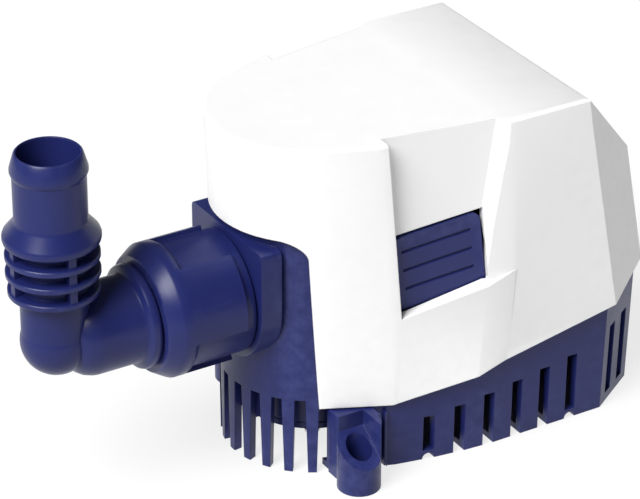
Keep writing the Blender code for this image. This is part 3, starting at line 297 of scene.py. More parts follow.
def cut(obj, *tools):
    """Take the tools away, one after another."""
    for tool in tools:
        combine(obj, tool, "DIFFERENCE")
    return obj


def add(obj, *tools):
    for tool in tools:
        combine(obj, tool, "UNION")
    return obj


def common(obj, tool):
    return combine(obj, tool, "INTERSECT")


def flip_y(obj):
    """A mirror image across the XZ plane, facing out again."""
    bm = bmesh.new()
    bm.from_mesh(obj.data)
    bmesh.ops.scale(bm, vec=(1, -1, 1), verts=bm.verts)
    bmesh.ops.reverse_faces(bm, faces=bm.faces)
    mesh = bpy.data.meshes.new("tool")
    bm.to_mesh(mesh)
    bm.free()
    copy = bpy.data.objects.new("tool", mesh)
    bpy.context.scene.collection.objects.link(copy)
    return copy


def both_sides(obj):
    return obj, flip_y(obj)


def lerp(a, b, t):
    return a + (b - a) * t


def lerp_point(a, b, t):
    return tuple(lerp(p, q, t) for p, q in zip(a, b))


def arc_points(radius, start, end, count, centre=(0.0, 0.0)):
    """Points on an arc, angles in degrees from +X."""
    angles = [math.radians(lerp(start, end, i / (count - 1))) for i in range(count)]
    return [(centre[0] + radius * math.cos(a), centre[1] + radius * math.sin(a)) for a in angles]


def mirror_outline(half):
    """Close a half outline (y below 0, nose to tail) with its mirror image."""
    return half + [(x, -y) for x, y in reversed(half) if abs(y) > 1e-6]


def plane_cut(obj, point, normal):
    """Keep the side of a plane that its normal points away from."""
    bm = bmesh.new()
    bm.from_mesh(obj.data)
    geometry = bm.verts[:] + bm.edges[:] + bm.faces[:]
    bmesh.ops.bisect_plane(bm, geom=geometry, plane_co=point, plane_no=normal,
                           clear_outer=True, dist=1e-4)
    bmesh.ops.holes_fill(bm, edges=[e for e in bm.edges if e.is_boundary])
    bmesh.ops.recalc_face_normals(bm, faces=bm.faces)
    bm.to_mesh(obj.data)
    bm.free()
    return obj


def placed(obj, name, body, mat, nodes, bevel=0.0):
    """Bring a finished shape to metres, shade its edges and tie it to the frame."""
    obj.name = name
    obj.data.name = name
    bm = bmesh.new()
    bm.from_mesh(obj.data)
    bmesh.ops.triangulate(bm, faces=bm.faces)
    bmesh.ops.translate(bm, vec=Vector((FRAME_X, 0, 0)), verts=bm.verts)
    bmesh.ops.scale(bm, vec=(MM, MM, MM), verts=bm.verts)
    bm.to_mesh(obj.data)
    bm.free()
    obj.data.materials.clear()
    obj.data.materials.append(mat)
    obj.data.shade_smooth()
    if bevel:
        soften(obj, bevel, EDGE_ANGLE)
    else:
        obj.data.set_sharp_from_angle(angle=math.radians(EDGE_ANGLE))
    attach(obj, body)
    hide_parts(*nodes)
    return obj


def soften(obj, width, angle):
    """Small rounded edges with clean shading."""
    bevel = obj.modifiers.new("rounded edges", "BEVEL")
    bevel.width = width * MM
    bevel.segments = 2
    bevel.limit_method = "ANGLE"
    bevel.angle_limit = math.radians(angle)
    bevel.use_clamp_overlap = False
    bevel.miter_outer = "MITER_ARC"
    bevel.harden_normals = True
    bevel.loop_slide = False


# -------------------------------------------------------------- cover shapes
def cover_outline(t, inset, extra=0.0):
    """Plan of the cover at a share t of its height, drawn in by an inset."""
    radius = lerp(NOSE_R_LOW, NOSE_R_TOP, t) - inset
    half = arc_points(radius, 180.0, 180.0 + NOSE_END, 40)
    shoulder = lerp_point(SHOULDER_LOW, SHOULDER_TOP, t)
    side = lerp_point(SIDE_LOW, SIDE_TOP, t)
    rear = lerp(SIDE_REAR_LOW, SIDE_REAR_TOP, t)
    half += [(shoulder[0] + 0.4 * inset, shoulder[1] + inset), (side[0], side[1] + inset + extra)]
    half += [(130.0, rear + inset + extra)]
    return mirror_outline(half)


def rear_wall_normal():
    return Vector((SHOULDER_REAR[1] - REAR_FOOT[1], 0, REAR_FOOT[0] - SHOULDER_REAR[0])).normalized()


def hull_solid(inset, chamfer=0.0):
    """Outer form of the cover, reduced by an even inset, with a chamfered lid."""
    span = TOP_Z - LOFT_LOW_Z
    top_z = TOP_Z - inset
    t_top = (top_z - LOFT_LOW_Z) / span
    t_band = (BAND_Z - LOFT_LOW_Z) / span
    rings = [[(x, y, LOFT_LOW_Z) for x, y in cover_outline(0.0, inset)],
             [(x, y, BAND_Z) for x, y in cover_outline(t_band, inset)]]
    if chamfer:
        t_edge = (top_z - chamfer - LOFT_LOW_Z) / span
        rings.append([(x, y, top_z - chamfer) for x, y in cover_outline(t_edge, inset, BAND_LEAN)])
    rings.append([(x, y, top_z) for x, y in cover_outline(t_top, inset + chamfer, BAND_LEAN)])
    solid = rings_mesh(rings)
    slope = Vector((TOP_Z - SHOULDER_REAR[1], 0, SHOULDER_REAR[0] - LID_REAR_X)).normalized()
    wall = rear_wall_normal()
    plane_cut(solid, Vector((LID_REAR_X, 0, TOP_Z)) - slope * inset, slope)
    plane_cut(solid, Vector((REAR_FOOT[0], 0, REAR_FOOT[1])) - wall * inset, wall)
    a, b, c = (Vector(p) for p in FACET_POINTS)
    facet = (b - a).cross(c - a).normalized()
    if facet.x < 0:
        facet.negate()
    far = Vector((facet.x, -facet.y, facet.z))
    plane_cut(solid, a - facet * inset, facet)
    plane_cut(solid, Vector((a.x, -a.y, a.z)) - far * inset, far)
    if chamfer:
        rim = (slope + Vector((0, 0, 1.0))).normalized()
        plane_cut(solid, Vector((LID_REAR_X, 0, TOP_Z)) - rim * (0.28 * chamfer), rim)
    return solid


def ledge_height(x):
    """Height of the ledge below the recess, which rises to the rear."""
    (x0, z0), (x1, z1) = LEDGE
    return lerp(z0, z1, (x - x0) / (x1 - x0))


def pocket_tool(grow):
    """The space cut out of the cover side above the ledge."""
    a, b = Vector(POCKET_A), Vector(POCKET_B)
    inward = Vector((-(b - a).y, (b - a).x)).normalized()
    floor_a, floor_b = a + inward * grow, b + inward * grow
    slope = (floor_b.y - floor_a.y) / (floor_b.x - floor_a.x)
    drop = grow / math.cos(math.radians(9.1))
    rings = []
    for level in (1, 0):
        x_left = POCKET_LEFT[level] - grow
        x_in, x_out = POCKET_RIGHT_IN[level] + 0.5 * grow, POCKET_RIGHT_OUT[level] + grow
        plan = [(x_left, -50.0), (x_out + 8.0, -50.0), (x_out, -40.6 + 0.2 * level),
                (x_in, floor_a.y + slope * (x_in - floor_a.x)),
                (x_left, floor_a.y + slope * (x_left - floor_a.x))]
        rings.append([(x, y, ledge_height(x) - drop if level else TOP_Z + 8.0) for x, y in plan])
    return rings_mesh(rings)


def apron_solid():
    """Raised apron under the ledge: out to a crest, then back on a bevel."""
    rings = []
    for lean in (0.0, APRON_LEAN):
        crest, end = APRON_CREST + lean, APRON_END + lean
        outline = [(7.0, -33.2), (7.0, -34.7), (crest, SIDE_LOW[1] + 0.5 - APRON_OUT),
                   (end, SIDE_LOW[1] + 0.1), (end, SIDE_LOW[1] + 2.0), (crest, SIDE_LOW[1] + 2.4)]
        rings.append([(x, y, ledge_height(x) if lean else LOFT_LOW_Z) for x, y in outline])
    return rings_mesh(rings)


def below_edge_tool():
    """All that lies below the cover's stepped lower edge."""
    outline = [(x, z) for x, z in COVER_EDGE] + [(110.0, -5.0), (-40.0, -5.0)]
    return side_prism(outline, -60.0, 60.0)


def window_outline(grow, low):
    """Half width, round upper corners and an open foot, as (y, z) points."""
    half, top, r = WINDOW_HALF_Y + grow, WINDOW_TOP_Z + grow, WINDOW_CORNER
    outline = [(-half, low)]
    outline += [(-half + r - r * math.cos(a), top - r + r * math.sin(a))
                for a in (math.radians(7.5 * i) for i in range(13))]
    return outline + [(-y, z) for y, z in reversed(outline)]


def gland_place():
    """Centre of the gland on the rear wall, and the wall's normal."""
    rise = (SHOULDER_REAR[1] - GLAND_Z) / (SHOULDER_REAR[1] - REAR_FOOT[1])
    x = lerp(SHOULDER_REAR[0], REAR_FOOT[0], rise)
    return Vector((x, 0, GLAND_Z)), rear_wall_normal()


def aim_at_wall(obj):
    centre, normal = gland_place()
    turn = Vector((0, 0, 1)).rotation_difference(normal).to_matrix().to_4x4()
    obj.data.transform(Matrix.Translation(centre) @ turn)
    return obj


def cheek_solid():
    """Backs the slanted wall beside the tab, so that the window has a full right side."""
    low = [(38.2, -35.0), (41.5, -35.0), (41.5, -39.4), (37.8, -39.4)]
    top = [(38.2, -35.0), (44.0, -35.0), (44.0, -39.4), (42.2, -39.4)]
    return rings_mesh([[(x, y, 53.0) for x, y in low], [(x, y, 84.0) for x, y in top]])


def tab_window_ring(depth, left, right, low):
    """One outline of the tab's window, at a depth behind the pocket floor."""
    corners = [(left[0], low[0]), (right[0], low[1]), (right[1], TAB_TOP_RISE[1] + 1.0),
               (left[1], TAB_TOP_RISE[0] + 1.0)]
    return [(x, tab_face_y(x) + depth, z) for x, z in corners]


def tab_window_tools():
    """The tab's window: straight behind the pocket floor, turned to the slanted wall before it."""
    left, right = (TAB_WINDOW_LOW_X, TAB_X_TOP[0] - 1.0), (TAB_X_LOW[1] + 0.4, TAB_X_TOP[1] + 1.0)
    low = (TAB_LOW_RISE[0] - 1.0, TAB_LOW_RISE[1] - 1.0)
    back = [tab_window_ring(depth, left, right, low) for depth in (-0.5, TAB_THICK + 5.0)]
    left = (POCKET_LEFT[1] + 0.05, left[1])
    low = (ledge_height(left[0]), ledge_height(right[0]))
    front = [tab_window_ring(-4.8, left, TAB_CHEEK, low), tab_window_ring(0.2, left, right, low)]
    return rings_mesh(back), rings_mesh(front)


def tab_channel():
    """Room behind the ledge in which the tab's arm swings."""
    x0, x1 = TAB_X_TOP[0] - 0.7, TAB_X_LOW[1] + 0.7
    outline = [(x0, tab_face_y(x0) - 0.5), (x1, tab_face_y(x1) - 0.5), (x1, tab_face_y(x1) + 8.0),
               (x0, tab_face_y(x0) + 8.0)]
    return prism(outline, 15.0, TAB_LOW_RISE[1] + 1.0)


def make_cover(mats):
    cover = hull_solid(0.0, LID_CHAMFER)
    cut(cover, *both_sides(pocket_tool(0.0)))
    cavity = hull_solid(WALL)
    cut(cavity, *both_sides(pocket_tool(WALL)))
    cut(cover, cavity)
    add(cover, *both_sides(apron_solid()), *both_sides(cheek_solid()))
    cut(cover, below_edge_tool(), front_prism(window_outline(0.0, 0.0), -60.0, 0.0))
    for tool in tab_window_tools():
        cut(cover, *both_sides(tool))
    cut(cover, *both_sides(tab_channel()))
    cut(cover, *both_sides(box((2.5, -36.5, TOP_Z - 1.6), (3.9, -33.6, TOP_Z + 1.0))))
    cut(cover, aim_at_wall(cylinder(GLAND_R, -12.0, 12.0, (0, 0, 0), "Z", 40)))
    for z in (60.0, 90.0):
        add(cover, *both_sides(box((58.0, -39.6, z), (60.0, -37.0, z + 1.6))))
    placed(cover, "cover_shell", "pump", mats["white"], ["cover"])


# -------------------------------------------------------------- release tabs
def tab_face_y(x):
    a, b = POCKET_A, POCKET_B
    return a[1] + (b[1] - a[1]) * (x - a[0]) / (b[0] - a[0])


def rounded_corner(before, corner, after, reach, count=7):
    """Points that round an outline's corner, reaching the same way along both sides."""
    corner = Vector(corner)
    start = corner + (Vector(before) - corner).normalized() * reach
    end = corner + (Vector(after) - corner).normalized() * reach
    shares = [i / (count - 1) for i in range(count)]
    return [tuple(start * (1 - t) ** 2 + corner * 2 * t * (1 - t) + end * t ** 2) for t in shares]


def tab_solid():
    low_left, low_right = (TAB_X_LOW[0], TAB_LOW_RISE[0]), (TAB_X_LOW[1], TAB_LOW_RISE[1])
    top_left, top_right = (TAB_X_TOP[0], TAB_TOP_RISE[0]), (TAB_X_TOP[1], TAB_TOP_RISE[1])
    outline = [low_left, low_right]
    outline += rounded_corner(low_right, top_right, top_left, TAB_CORNER)
    outline += rounded_corner(top_right, top_left, low_left, TAB_CORNER)
    return rings_mesh([[(x, tab_face_y(x) + depth, z) for x, z in outline]
                       for depth in (0.0, TAB_THICK)])


def tab_line():
    """Middle of the tab in plan, the direction along it and the one inwards."""
    along = (Vector(POCKET_B) - Vector(POCKET_A)).normalized()
    middle_x = 0.5 * (TAB_X_TOP[0] + TAB_X_LOW[1])
    return Vector((middle_x, tab_face_y(middle_x))), along, Vector((-along.y, along.x))


def tab_pivot():
    middle, _, inward = tab_line()
    centre = middle + inward * (ARM_OFFSET + 0.5 * TAB_THICK)
    return Vector((centre.x, centre.y, TAB_PIVOT_Z))


def tab_block(s0, s1, d0, d1, z0, z1):
    """A block along the tab: s runs along its face, d goes inwards from it."""
    middle, along, inward = tab_line()
    corners = [(s0, d0), (s1, d0), (s1, d1), (s0, d1)]
    return prism([tuple(middle + along * s + inward * d) for s, d in corners], z0, z1)


def along_tab(obj):
    _, along, _ = tab_line()
    turn = Vector((0, 0, 1)).rotation_difference(Vector((along.x, along.y, 0))).to_matrix().to_4x4()
    obj.data.transform(Matrix.Translation(tab_pivot()) @ turn)
    return obj


def tab_groove(height):
    """A finger groove that follows the tab's rise and stops short of its right end."""
    rise = (TAB_LOW_RISE[1] - TAB_LOW_RISE[0]) / (TAB_X_LOW[1] - TAB_X_LOW[0])
    shift = (height - TAB_LOW_RISE[0]) / (TAB_TOP_RISE[0] - TAB_LOW_RISE[0])
    x0 = lerp(TAB_X_LOW[0], TAB_X_TOP[0], shift) + 2.2
    x1 = lerp(TAB_X_LOW[1], TAB_X_TOP[1], shift) - 3.2
    rings = []
    for x in (x0, x1):
        z = height + rise * (x - x0)
        y = tab_face_y(x)
        rings.append([(x, y - 0.6, z - 0.75), (x, y - 0.6, z + 0.75), (x, y + 0.6, z + 0.35),
                      (x, y + 0.6, z - 0.35)])
    return rings_mesh(rings)


def make_tab():
    tab = tab_solid()
    for height in TAB_GROOVES:
        cut(tab, tab_groove(height))
    arm_in, arm_out = ARM_OFFSET, ARM_OFFSET + TAB_THICK
    add(tab, tab_block(-ARM_HALF, ARM_HALF, arm_in, arm_out, TAB_PIVOT_Z, 66.0))
    add(tab, tab_block(-ARM_HALF, ARM_HALF, 0.0, arm_in + 0.4, 46.5, 48.0))
    add(tab, along_tab(cylinder(BARREL_R, -ARM_HALF, ARM_HALF, (0, 0, 0), "Z", 32)))
    add(tab, along_tab(cylinder(1.2, -ARM_HALF - 2.6, ARM_HALF + 2.6, (0, 0, 0), "Z", 24)))
    return tab


def make_tabs(mats):
    near = make_tab()
    far = flip_y(near)
    placed(near, "tab_near_moulding", "tab_near", mats["navy_tab"],
           ["release_tab_near"])
    placed(far, "tab_far_moulding", "tab_far", mats["navy_tab"],
           ["release_tab_far"])


# ------------------------------------------------------------- strainer base
def inset_outline(points, distance):
    """Move every side of a closed outline inwards by the same distance."""
    result = []
    count = len(points)
    for i in range(count):
        before, here, after = (Vector(points[(i + k) % count]) for k in (-1, 0, 1))
        d0, d1 = (here - before).normalized(), (after - here).normalized()
        n0, n1 = Vector((-d0.y, d0.x)), Vector((-d1.y, d1.x))
        bisector = (n0 + n1).normalized()
        result.append(tuple(here + bisector * (distance / bisector.dot(n0))))
    return result


def base_half(grow):
    start = math.radians(180.0 + BASE_START)
    first = (BASE_R * math.cos(start), BASE_R * math.sin(start))
    return [first] + [(x + grow * (x > 50), y - grow) for x, y in BASE_SIDE]


def base_solid():
    rings = []
    for z in (0.0, 48.0):
        rings.append([(x, y, z) for x, y in mirror_outline(base_half(BASE_DRAFT * z))])
    return rings_mesh(rings)


def base_cavity():
    half = [(-40.0, base_half(0.0)[0][1])] + base_half(0.0)
    outline = inset_outline(mirror_outline(half), BASE_WALL)
    outline = [(x - 10.0 if x < -30 else x, y) for x, y in outline]
    return prism(outline, BASE_FLOOR, 60.0)


def above_base_wall():
    """All that lies above the base's wall, which laps inside the cover's edge."""
    outline = [(x, min(z + BASE_WALL_TOP, DECK_Z0 - 1.0)) for x, z in COVER_EDGE]
    return side_prism(outline + [(110.0, 90.0), (-40.0, 90.0)], -60.0, 60.0)


def cover_skirt():
    """The cover's wall where it comes down outside the base, with its clearance."""
    outline = [(x, z - GAP) for x, z in COVER_EDGE] + [(110.0, 90.0), (-40.0, 90.0)]
    return cut(side_prism(outline, -60.0, 60.0), hull_solid(WALL + 2 * GAP))


def side_slots():
    tools = []
    for i in range(SIDE_SLOT_COUNT):
        x = SIDE_SLOT_FIRST + i * SIDE_SLOT_PITCH
        top = SIDE_SLOT_TOP[0] + SIDE_SLOT_TOP[1] * (x - SIDE_SLOT_FIRST)
        closed = i in (0, SIDE_SLOT_COUNT - 1)
        low = SLOT_SILL if closed else -1.0
        half = 0.5 * SIDE_SLOT_W
        tools.append(box((x - half, -45.0, low), (x + half, -37.0 + SLOT_DEPTH, top)))
        if closed:
            tools.append(cylinder(1.9, -45.0, -32.0, (x, 0, 0), "Y", 32))
    return tools


def facet_slots():
    a, b = Vector(BASE_SIDE[-2]), Vector(BASE_SIDE[-1])
    along = (b - a).normalized()
    inward = Vector((-along.y, along.x))
    tools = []
    for share in FACET_SLOTS:
        centre = a.lerp(b, share)
        corners = [centre + along * (s * 0.5 * FACET_SLOT_W) + inward * d
                   for s, d in ((-1, -6.0), (1, -6.0), (1, 4.5), (-1, 4.5))]
        tools.append(prism([tuple(c) for c in corners], SLOT_SILL, FACET_SLOT_TOP))
    return tools


def foot_solid():
    x, y = FOOT_XY
    foot = cylinder(FOOT_R, 0.0, FOOT_TOP, (x, y, 0), "Z", 64)
    return add(foot, box((x - FOOT_R + 2.6, y, 0.0), (x + FOOT_R + 1.0, -26.0, FOOT_TOP)))


def foot_cuts():
    x, y = FOOT_XY
    scoop = [(y - 9.0, FOOT_PAD - 1.6), (y + 5.2, FOOT_TOP - 5.0), (y + 5.2, 40.0), (y - 9.0, 40.0)]
    return [front_prism(scoop, x - 8.0, x + 4.6),
            cylinder(FOOT_SINK_R, 4.0, 40.0, (x, y, 0), "Z", 48),
            cylinder(FOOT_HOLE_R, -1.0, 40.0, (x, y, 0), "Z", 48)]


def make_base(mats):
    base = base_solid()
    cut(base, base_cavity(), above_base_wall(), cover_skirt())
    cut(base, cylinder(BASE_BITE_R, -1.0, BASE_FLOOR + 1.0, (0, 0, 0), "Z", 96))
    add(base, *both_sides(foot_solid()))
    add(base, *both_sides(box((5.6, -33.4, 0.0), (6.5, -29.0, 20.0))))
    cut(base, *both_sides(cylinder(2.2, -45.0, -28.0, (4.4, 0, 0), "Y", 32)))
    for tool in side_slots() + facet_slots():
        cut(base, *both_sides(tool))
    for tool in foot_cuts():
        cut(base, *both_sides(tool))
    for y in REAR_SLOTS:
        cut(base, box((90.0, y - 1.8, SLOT_SILL), (110.0, y + 1.8, FACET_SLOT_TOP)))
    for side in (-1, 1):
        ear_end = side * (ARM_HALF + 0.3)
        low, high = sorted((ear_end, ear_end + side * 2.2))
        ear = tab_block(low, high, -0.6, ARM_OFFSET + TAB_THICK + 1.2, BASE_FLOOR - 0.5,
                        TAB_PIVOT_Z + 2.6)
        add(base, *both_sides(ear))
    hole = along_tab(cylinder(1.5, -ARM_HALF - 4.0, ARM_HALF + 4.0, (0, 0, 0), "Z", 32))
    swing = along_tab(cylinder(BARREL_R + GAP, -ARM_HALF - GAP, ARM_HALF + GAP, (0, 0, 0), "Z", 32))
    cut(base, *both_sides(hole), *both_sides(swing))
    placed(base, "base_moulding", "base", mats["navy"], ["strainer_base"])


# -------------------------------------------------------------- pump housing
def comb_gap(i, first):
    """One gap of the comb: wider below than above, and the last ones open outwards."""
    angle = math.radians(180.0 + (i + 0.5) * COMB_PITCH)
    direction = Vector((math.cos(angle), math.sin(angle)))
    across = Vector((-direction.y, direction.x))
    pitch = BASE_R * math.radians(COMB_PITCH)
    end = 2.2 if abs(i + 0.5) > first else 0.0
    rings = []
    for z, tooth in ((-1.0, COMB_TOOTH_LOW), (COMB_TOP_Z, COMB_TOOTH_TOP)):
        half = 0.5 * (pitch - tooth)
        low = half + (end if i < 0 else 0.0)
        high = half + (end if i > 0 else 0.0)
        plan = [direction * 20 - across * low, direction * 33 - across * low,
                direction * 33 + across * high, direction * 20 + across * high]
        rings.append([(p.x, p.y, z) for p in plan])
    return rings_mesh(rings)


def panel_solid():
    top = WINDOW_TOP_Z - GAP
    panel = turned([(0, 0), (BASE_R, 0), (BASE_R + 0.4, top), (0, top)], (0, 0, 0), "Z", 180)
    cut(panel, cylinder(BASE_R - PANEL_WALL, -1.0, 90.0, (0, 0, 0), "Z", 180))
    common(panel, front_prism(window_outline(-GAP, -1.0), -60.0, PANEL_END_X))
    first = int(COMB_LAST / COMB_PITCH)
    for i in range(-first - 1, first + 1):
        cut(panel, comb_gap(i, first))
    return panel


def boss_outline():
    half = BOSS_HALF_Y
    outline = [(-half, BOSS_TOP_Z - 1.6), (-half + 0.5, BOSS_TOP_Z - 0.5), (-half + 1.6, BOSS_TOP_Z)]
    arc = [(half * math.cos(a), OUT_Z + half * math.sin(a))
           for a in (math.radians(180 + 5 * i) for i in range(37))]
    return outline[::-1] + arc + [(-y, z) for y, z in outline]


def make_housing(mats):
    housing = panel_solid()
    deck = hull_solid(WALL + 2 * GAP)
    common(deck, box((-40, -60, DECK_Z0), (120, 60, DECK_Z1)))
    cut(deck, *both_sides(box((3.0, -60.0, DECK_Z0 - 1), (44.0, -26.5, DECK_Z1 + 1))))
    add(housing, deck)
    add(housing, cylinder(VOLUTE_R, VOLUTE_Z0, DECK_Z0 + 0.5, (0, 0, 0), "Z", 96))
    riser_back, riser_front = RISER_BACK_X + RISER_WALL, RISER_FRONT_X - RISER_WALL
    add(housing, box((riser_front, -11.5, 30.0), (riser_back, 11.5, 72.0)))
    add(housing, box((riser_front, -7.8, VOLUTE_Z0), (riser_back, 7.8, 30.5)))
    add(housing, front_prism(boss_outline(), BOSS_FACE_X, BOSS_ROOT_X))
    spigot_length = BOSS_FACE_X - SPIGOT_END_X
    add(housing, cylinder(SPIGOT_R, -1.0, spigot_length, (BOSS_FACE_X, 0, OUT_Z), "-X"))
    collar_z = (DECK_Z1 - 0.5, DECK_Z1 + 3.0)
    add(housing, tube(MOTOR_R + 2.2, MOTOR_R + GAP, *collar_z, (0, 0, 0), "Z", 96))
    px, pz = FLOAT_PIVOT
    ear = [(px - 4, DECK_Z0 + 0.5), (px - 4, pz - 3.4), (px + 4, pz - 3.4), (px + 4, DECK_Z0 + 0.5)]
    add(housing, *both_sides(side_prism(ear, -19.0, -16.2)))
    cut(housing, cylinder(CHAMBER_R, VOLUTE_Z0 - 1, CHAMBER_Z1, (0, 0, 0), "Z", 96))
    cut(housing, box((RISER_FRONT_X, -6.0, 17.0), (RISER_BACK_X, 6.0, 70.0)))
    cut(housing, box((RISER_FRONT_X, -6.0, 17.0), (-12.0, 6.0, CHAMBER_Z1)))
    cut(housing, cylinder(MOTOR_R + GAP, WELL_Z, 60.0, (0, 0, 0), "Z", 96))
    cut(housing, cylinder(BORE_R, 0.0, 60.0, (-18.0, 0, OUT_Z), "-X", 64))
    cut(housing, cylinder(SHAFT_R + 0.6, CHAMBER_Z1 - 1.0, 60.0, (0, 0, 0), "Z", 32))
    cut(housing, cylinder(SEAL_R + GAP, SEAL_Z0 - GAP, 60.0, (0, 0, 0), "Z", 40))
    cut(housing, cylinder(FLOAT_PIN_R + GAP, -25.0, 25.0, (px, 0, pz), "Y", 24))
    for x, y in screw_places():
        cut(housing, cylinder(SCREW_R + GAP, VOLUTE_Z0 - 1, VOLUTE_Z0 + 8.6, (x, y, 0), "Z", 24))
    placed(housing, "housing_moulding", "pump", mats["navy"], ["pump_housing"])


def screw_places():
    return arc_points(0.5 * (CHAMBER_R + VOLUTE_R), 0.0, 240.0, 3)


def make_volute_plate(mats):
    z0, z1 = VOLUTE_Z0 - GAP - 2.2, VOLUTE_Z0 - GAP
    lip = INLET_R + 1.6
    plate = turned([(INLET_R, z0 - 2.0), (lip, z0 - 2.0), (lip, z0), (VOLUTE_R, z0), (VOLUTE_R, z1),
                    (INLET_R, z1)], (0, 0, 0), "Z", 96)
    for x, y in screw_places():
        cut(plate, cylinder(SCREW_R + GAP, z0 - 1, z1 + 1, (x, y, 0), "Z", 24))
    placed(plate, "volute_cap", "pump", mats["navy"], ["volute_plate"], 0.25)


def make_gland(mats):
    back, neck = GLAND_R + 1.2, GLAND_R - GAP
    profile = [(GLAND_HOLE_R, -4.6), (back, -4.6), (back, -WALL - GAP), (neck, -WALL - GAP),
               (neck, GAP), (GLAND_FLANGE_R, GAP), (GLAND_FLANGE_R, 1.0), (6.6, 1.6), (5.2, 1.9),
               (4.7, 2.1), (4.2, 2.9), (3.8, 3.4), (GLAND_HOLE_R, 3.4)]
    gland = aim_at_wall(turned(profile, (0, 0, 0), "Z", 64))
    placed(gland, "gland_boot", "pump", mats["rubber"], ["cable_gland"], 0.15)


# --------------------------------------------------------------------- outlet
def turn_to_outlet(obj):
    """Turn an upright shape so that its Z runs out along the outlet."""
    obj.data.transform(Matrix.Translation((0, 0, OUT_Z)) @ Matrix.Rotation(-math.pi / 2, 4, "Y"))
    return obj


def make_nut(mats):
    back, front = -NUT_BACK_X, -NUT_FRONT_X
    inner = SPIGOT_R + GAP
    profile = [(inner, back), (18.0, back), (18.6, back + 0.2), (NUT_BODY_R, back + 0.8),
               (NUT_BODY_R, front - 9.4), (20.1, front - 8.2), (NUT_LUG_R, front - 7.6),
               (NUT_LUG_R, front - 4.6), (20.1, front - 4.0), (17.9, front - 0.4),
               (NUT_NOSE_R, front), (NUT_LIP_R, front), (NUT_LIP_R, front - 5.0),
               (inner, front - 6.2)]
    nut = turned(profile, (0, 0, OUT_Z), "-X", 144)
    for start in NUT_LUG_STARTS:
        end = start + NUT_LUG_SPAN
        outline = arc_points(NUT_LUG_R, -end, -start, 30)
        outline += arc_points(NUT_LUG_R - NUT_LUG_DEPTH, -start, -end, 30)
        add(nut, turn_to_outlet(prism(outline, *NUT_LUG_REACH)))
    placed(nut, "nut_moulding", "nut", mats["navy"], ["discharge_nut"])


def elbow_level():
    """Profile of the level run, from its head inside the nut to the corner."""
    start, flange = ELBOW_START, -NUT_FRONT_X
    neck, wide = ELBOW_NECK_R, ELBOW_WIDE_R
    head = [(0, start), (ELBOW_HEAD_R, start), (ELBOW_HEAD_R, start + 1.8), (neck, start + 2.2),
            (neck, flange + 0.4)]
    ring = [(14.9, flange + 0.5), (15.5, flange + 0.9), (ELBOW_FLANGE_R, flange + 1.7),
            (ELBOW_FLANGE_R, flange + 2.6), (15.5, flange + 3.4), (14.9, flange + 3.9)]
    run = [(wide + 0.3, flange + 4.5), (wide, flange + 5.2), (wide, 75.5), (13.2, 77.0), (12.5, 79.2),
           (11.3, 81.0), (ELBOW_R, 82.0), (ELBOW_R, -ELBOW_X), (0, -ELBOW_X)]
    return head + ring + run


def elbow_upright():
    """Profile of the upright: discs, collar, barb and ring."""
    profile = [(0, OUT_Z), (ELBOW_R, OUT_Z)]
    for z, radius in ELBOW_DISCS:
        profile += [(ELBOW_R, z - 1.1), (radius - 0.3, z - 0.9), (radius, z - 0.6),
                    (radius, z + 0.6), (radius - 0.3, z + 0.9), (ELBOW_R, z + 1.1)]
    profile += [(ELBOW_R, 87.6), (13.4, 88.0), (14.0, 88.6), (COLLAR_R, 89.3), (COLLAR_R, 90.1),
                (13.9, 90.9), (10.9, 94.4), (BARB_R, 95.4), (BARB_R, 109.0), (10.8, 109.3),
                (BARB_RING_R, 110.3), (BARB_RING_R, 111.2), (9.95, 115.5),
                (BARB_RIM_R, ELBOW_TOP_Z), (0, ELBOW_TOP_Z)]
    return profile


def ball(radius, centre):
    count = 32
    profile = [(radius * math.sin(math.pi * i / count), -radius * math.cos(math.pi * i / count))
               for i in range(count + 1)]
    return turned(profile, centre)


def upright_bore():
    wide, end = ELBOW_RIM_BORE, ELBOW_TOP_Z
    return [(0, OUT_Z), (ELBOW_BORE, OUT_Z), (ELBOW_BORE, end - 30.0), (wide, end - 24.0),
            (wide, end - 0.8), (wide + 0.4, end + 1.0), (0, end + 1.0)]


def make_elbow(mats):
    corner = (ELBOW_X, 0, OUT_Z)
    elbow = turned(elbow_level(), (0, 0, OUT_Z), "-X", 96)
    add(elbow, turned(elbow_upright(), (ELBOW_X, 0, 0), "Z", 96))
    add(elbow, ball(ELBOW_R + 0.5, corner))
    low, high = ELBOW_DISCS[0][0], ELBOW_WEB_TOP
    for dx, dy in ((ELBOW_WEB_R, 0.5 * ELBOW_WEB), (0.5 * ELBOW_WEB, ELBOW_WEB_R)):
        add(elbow, box((ELBOW_X - dx, -dy, low), (ELBOW_X + dx, dy, high)))
    cut(elbow, cylinder(ELBOW_BORE, 40.0, -ELBOW_X, (0, 0, OUT_Z), "-X", 64))
    cut(elbow, turned(upright_bore(), (ELBOW_X, 0, 0), "Z", 96))
    cut(elbow, ball(ELBOW_BORE, corner))
    placed(elbow, "elbow_moulding", "elbow", mats["navy"], ["discharge_elbow"])


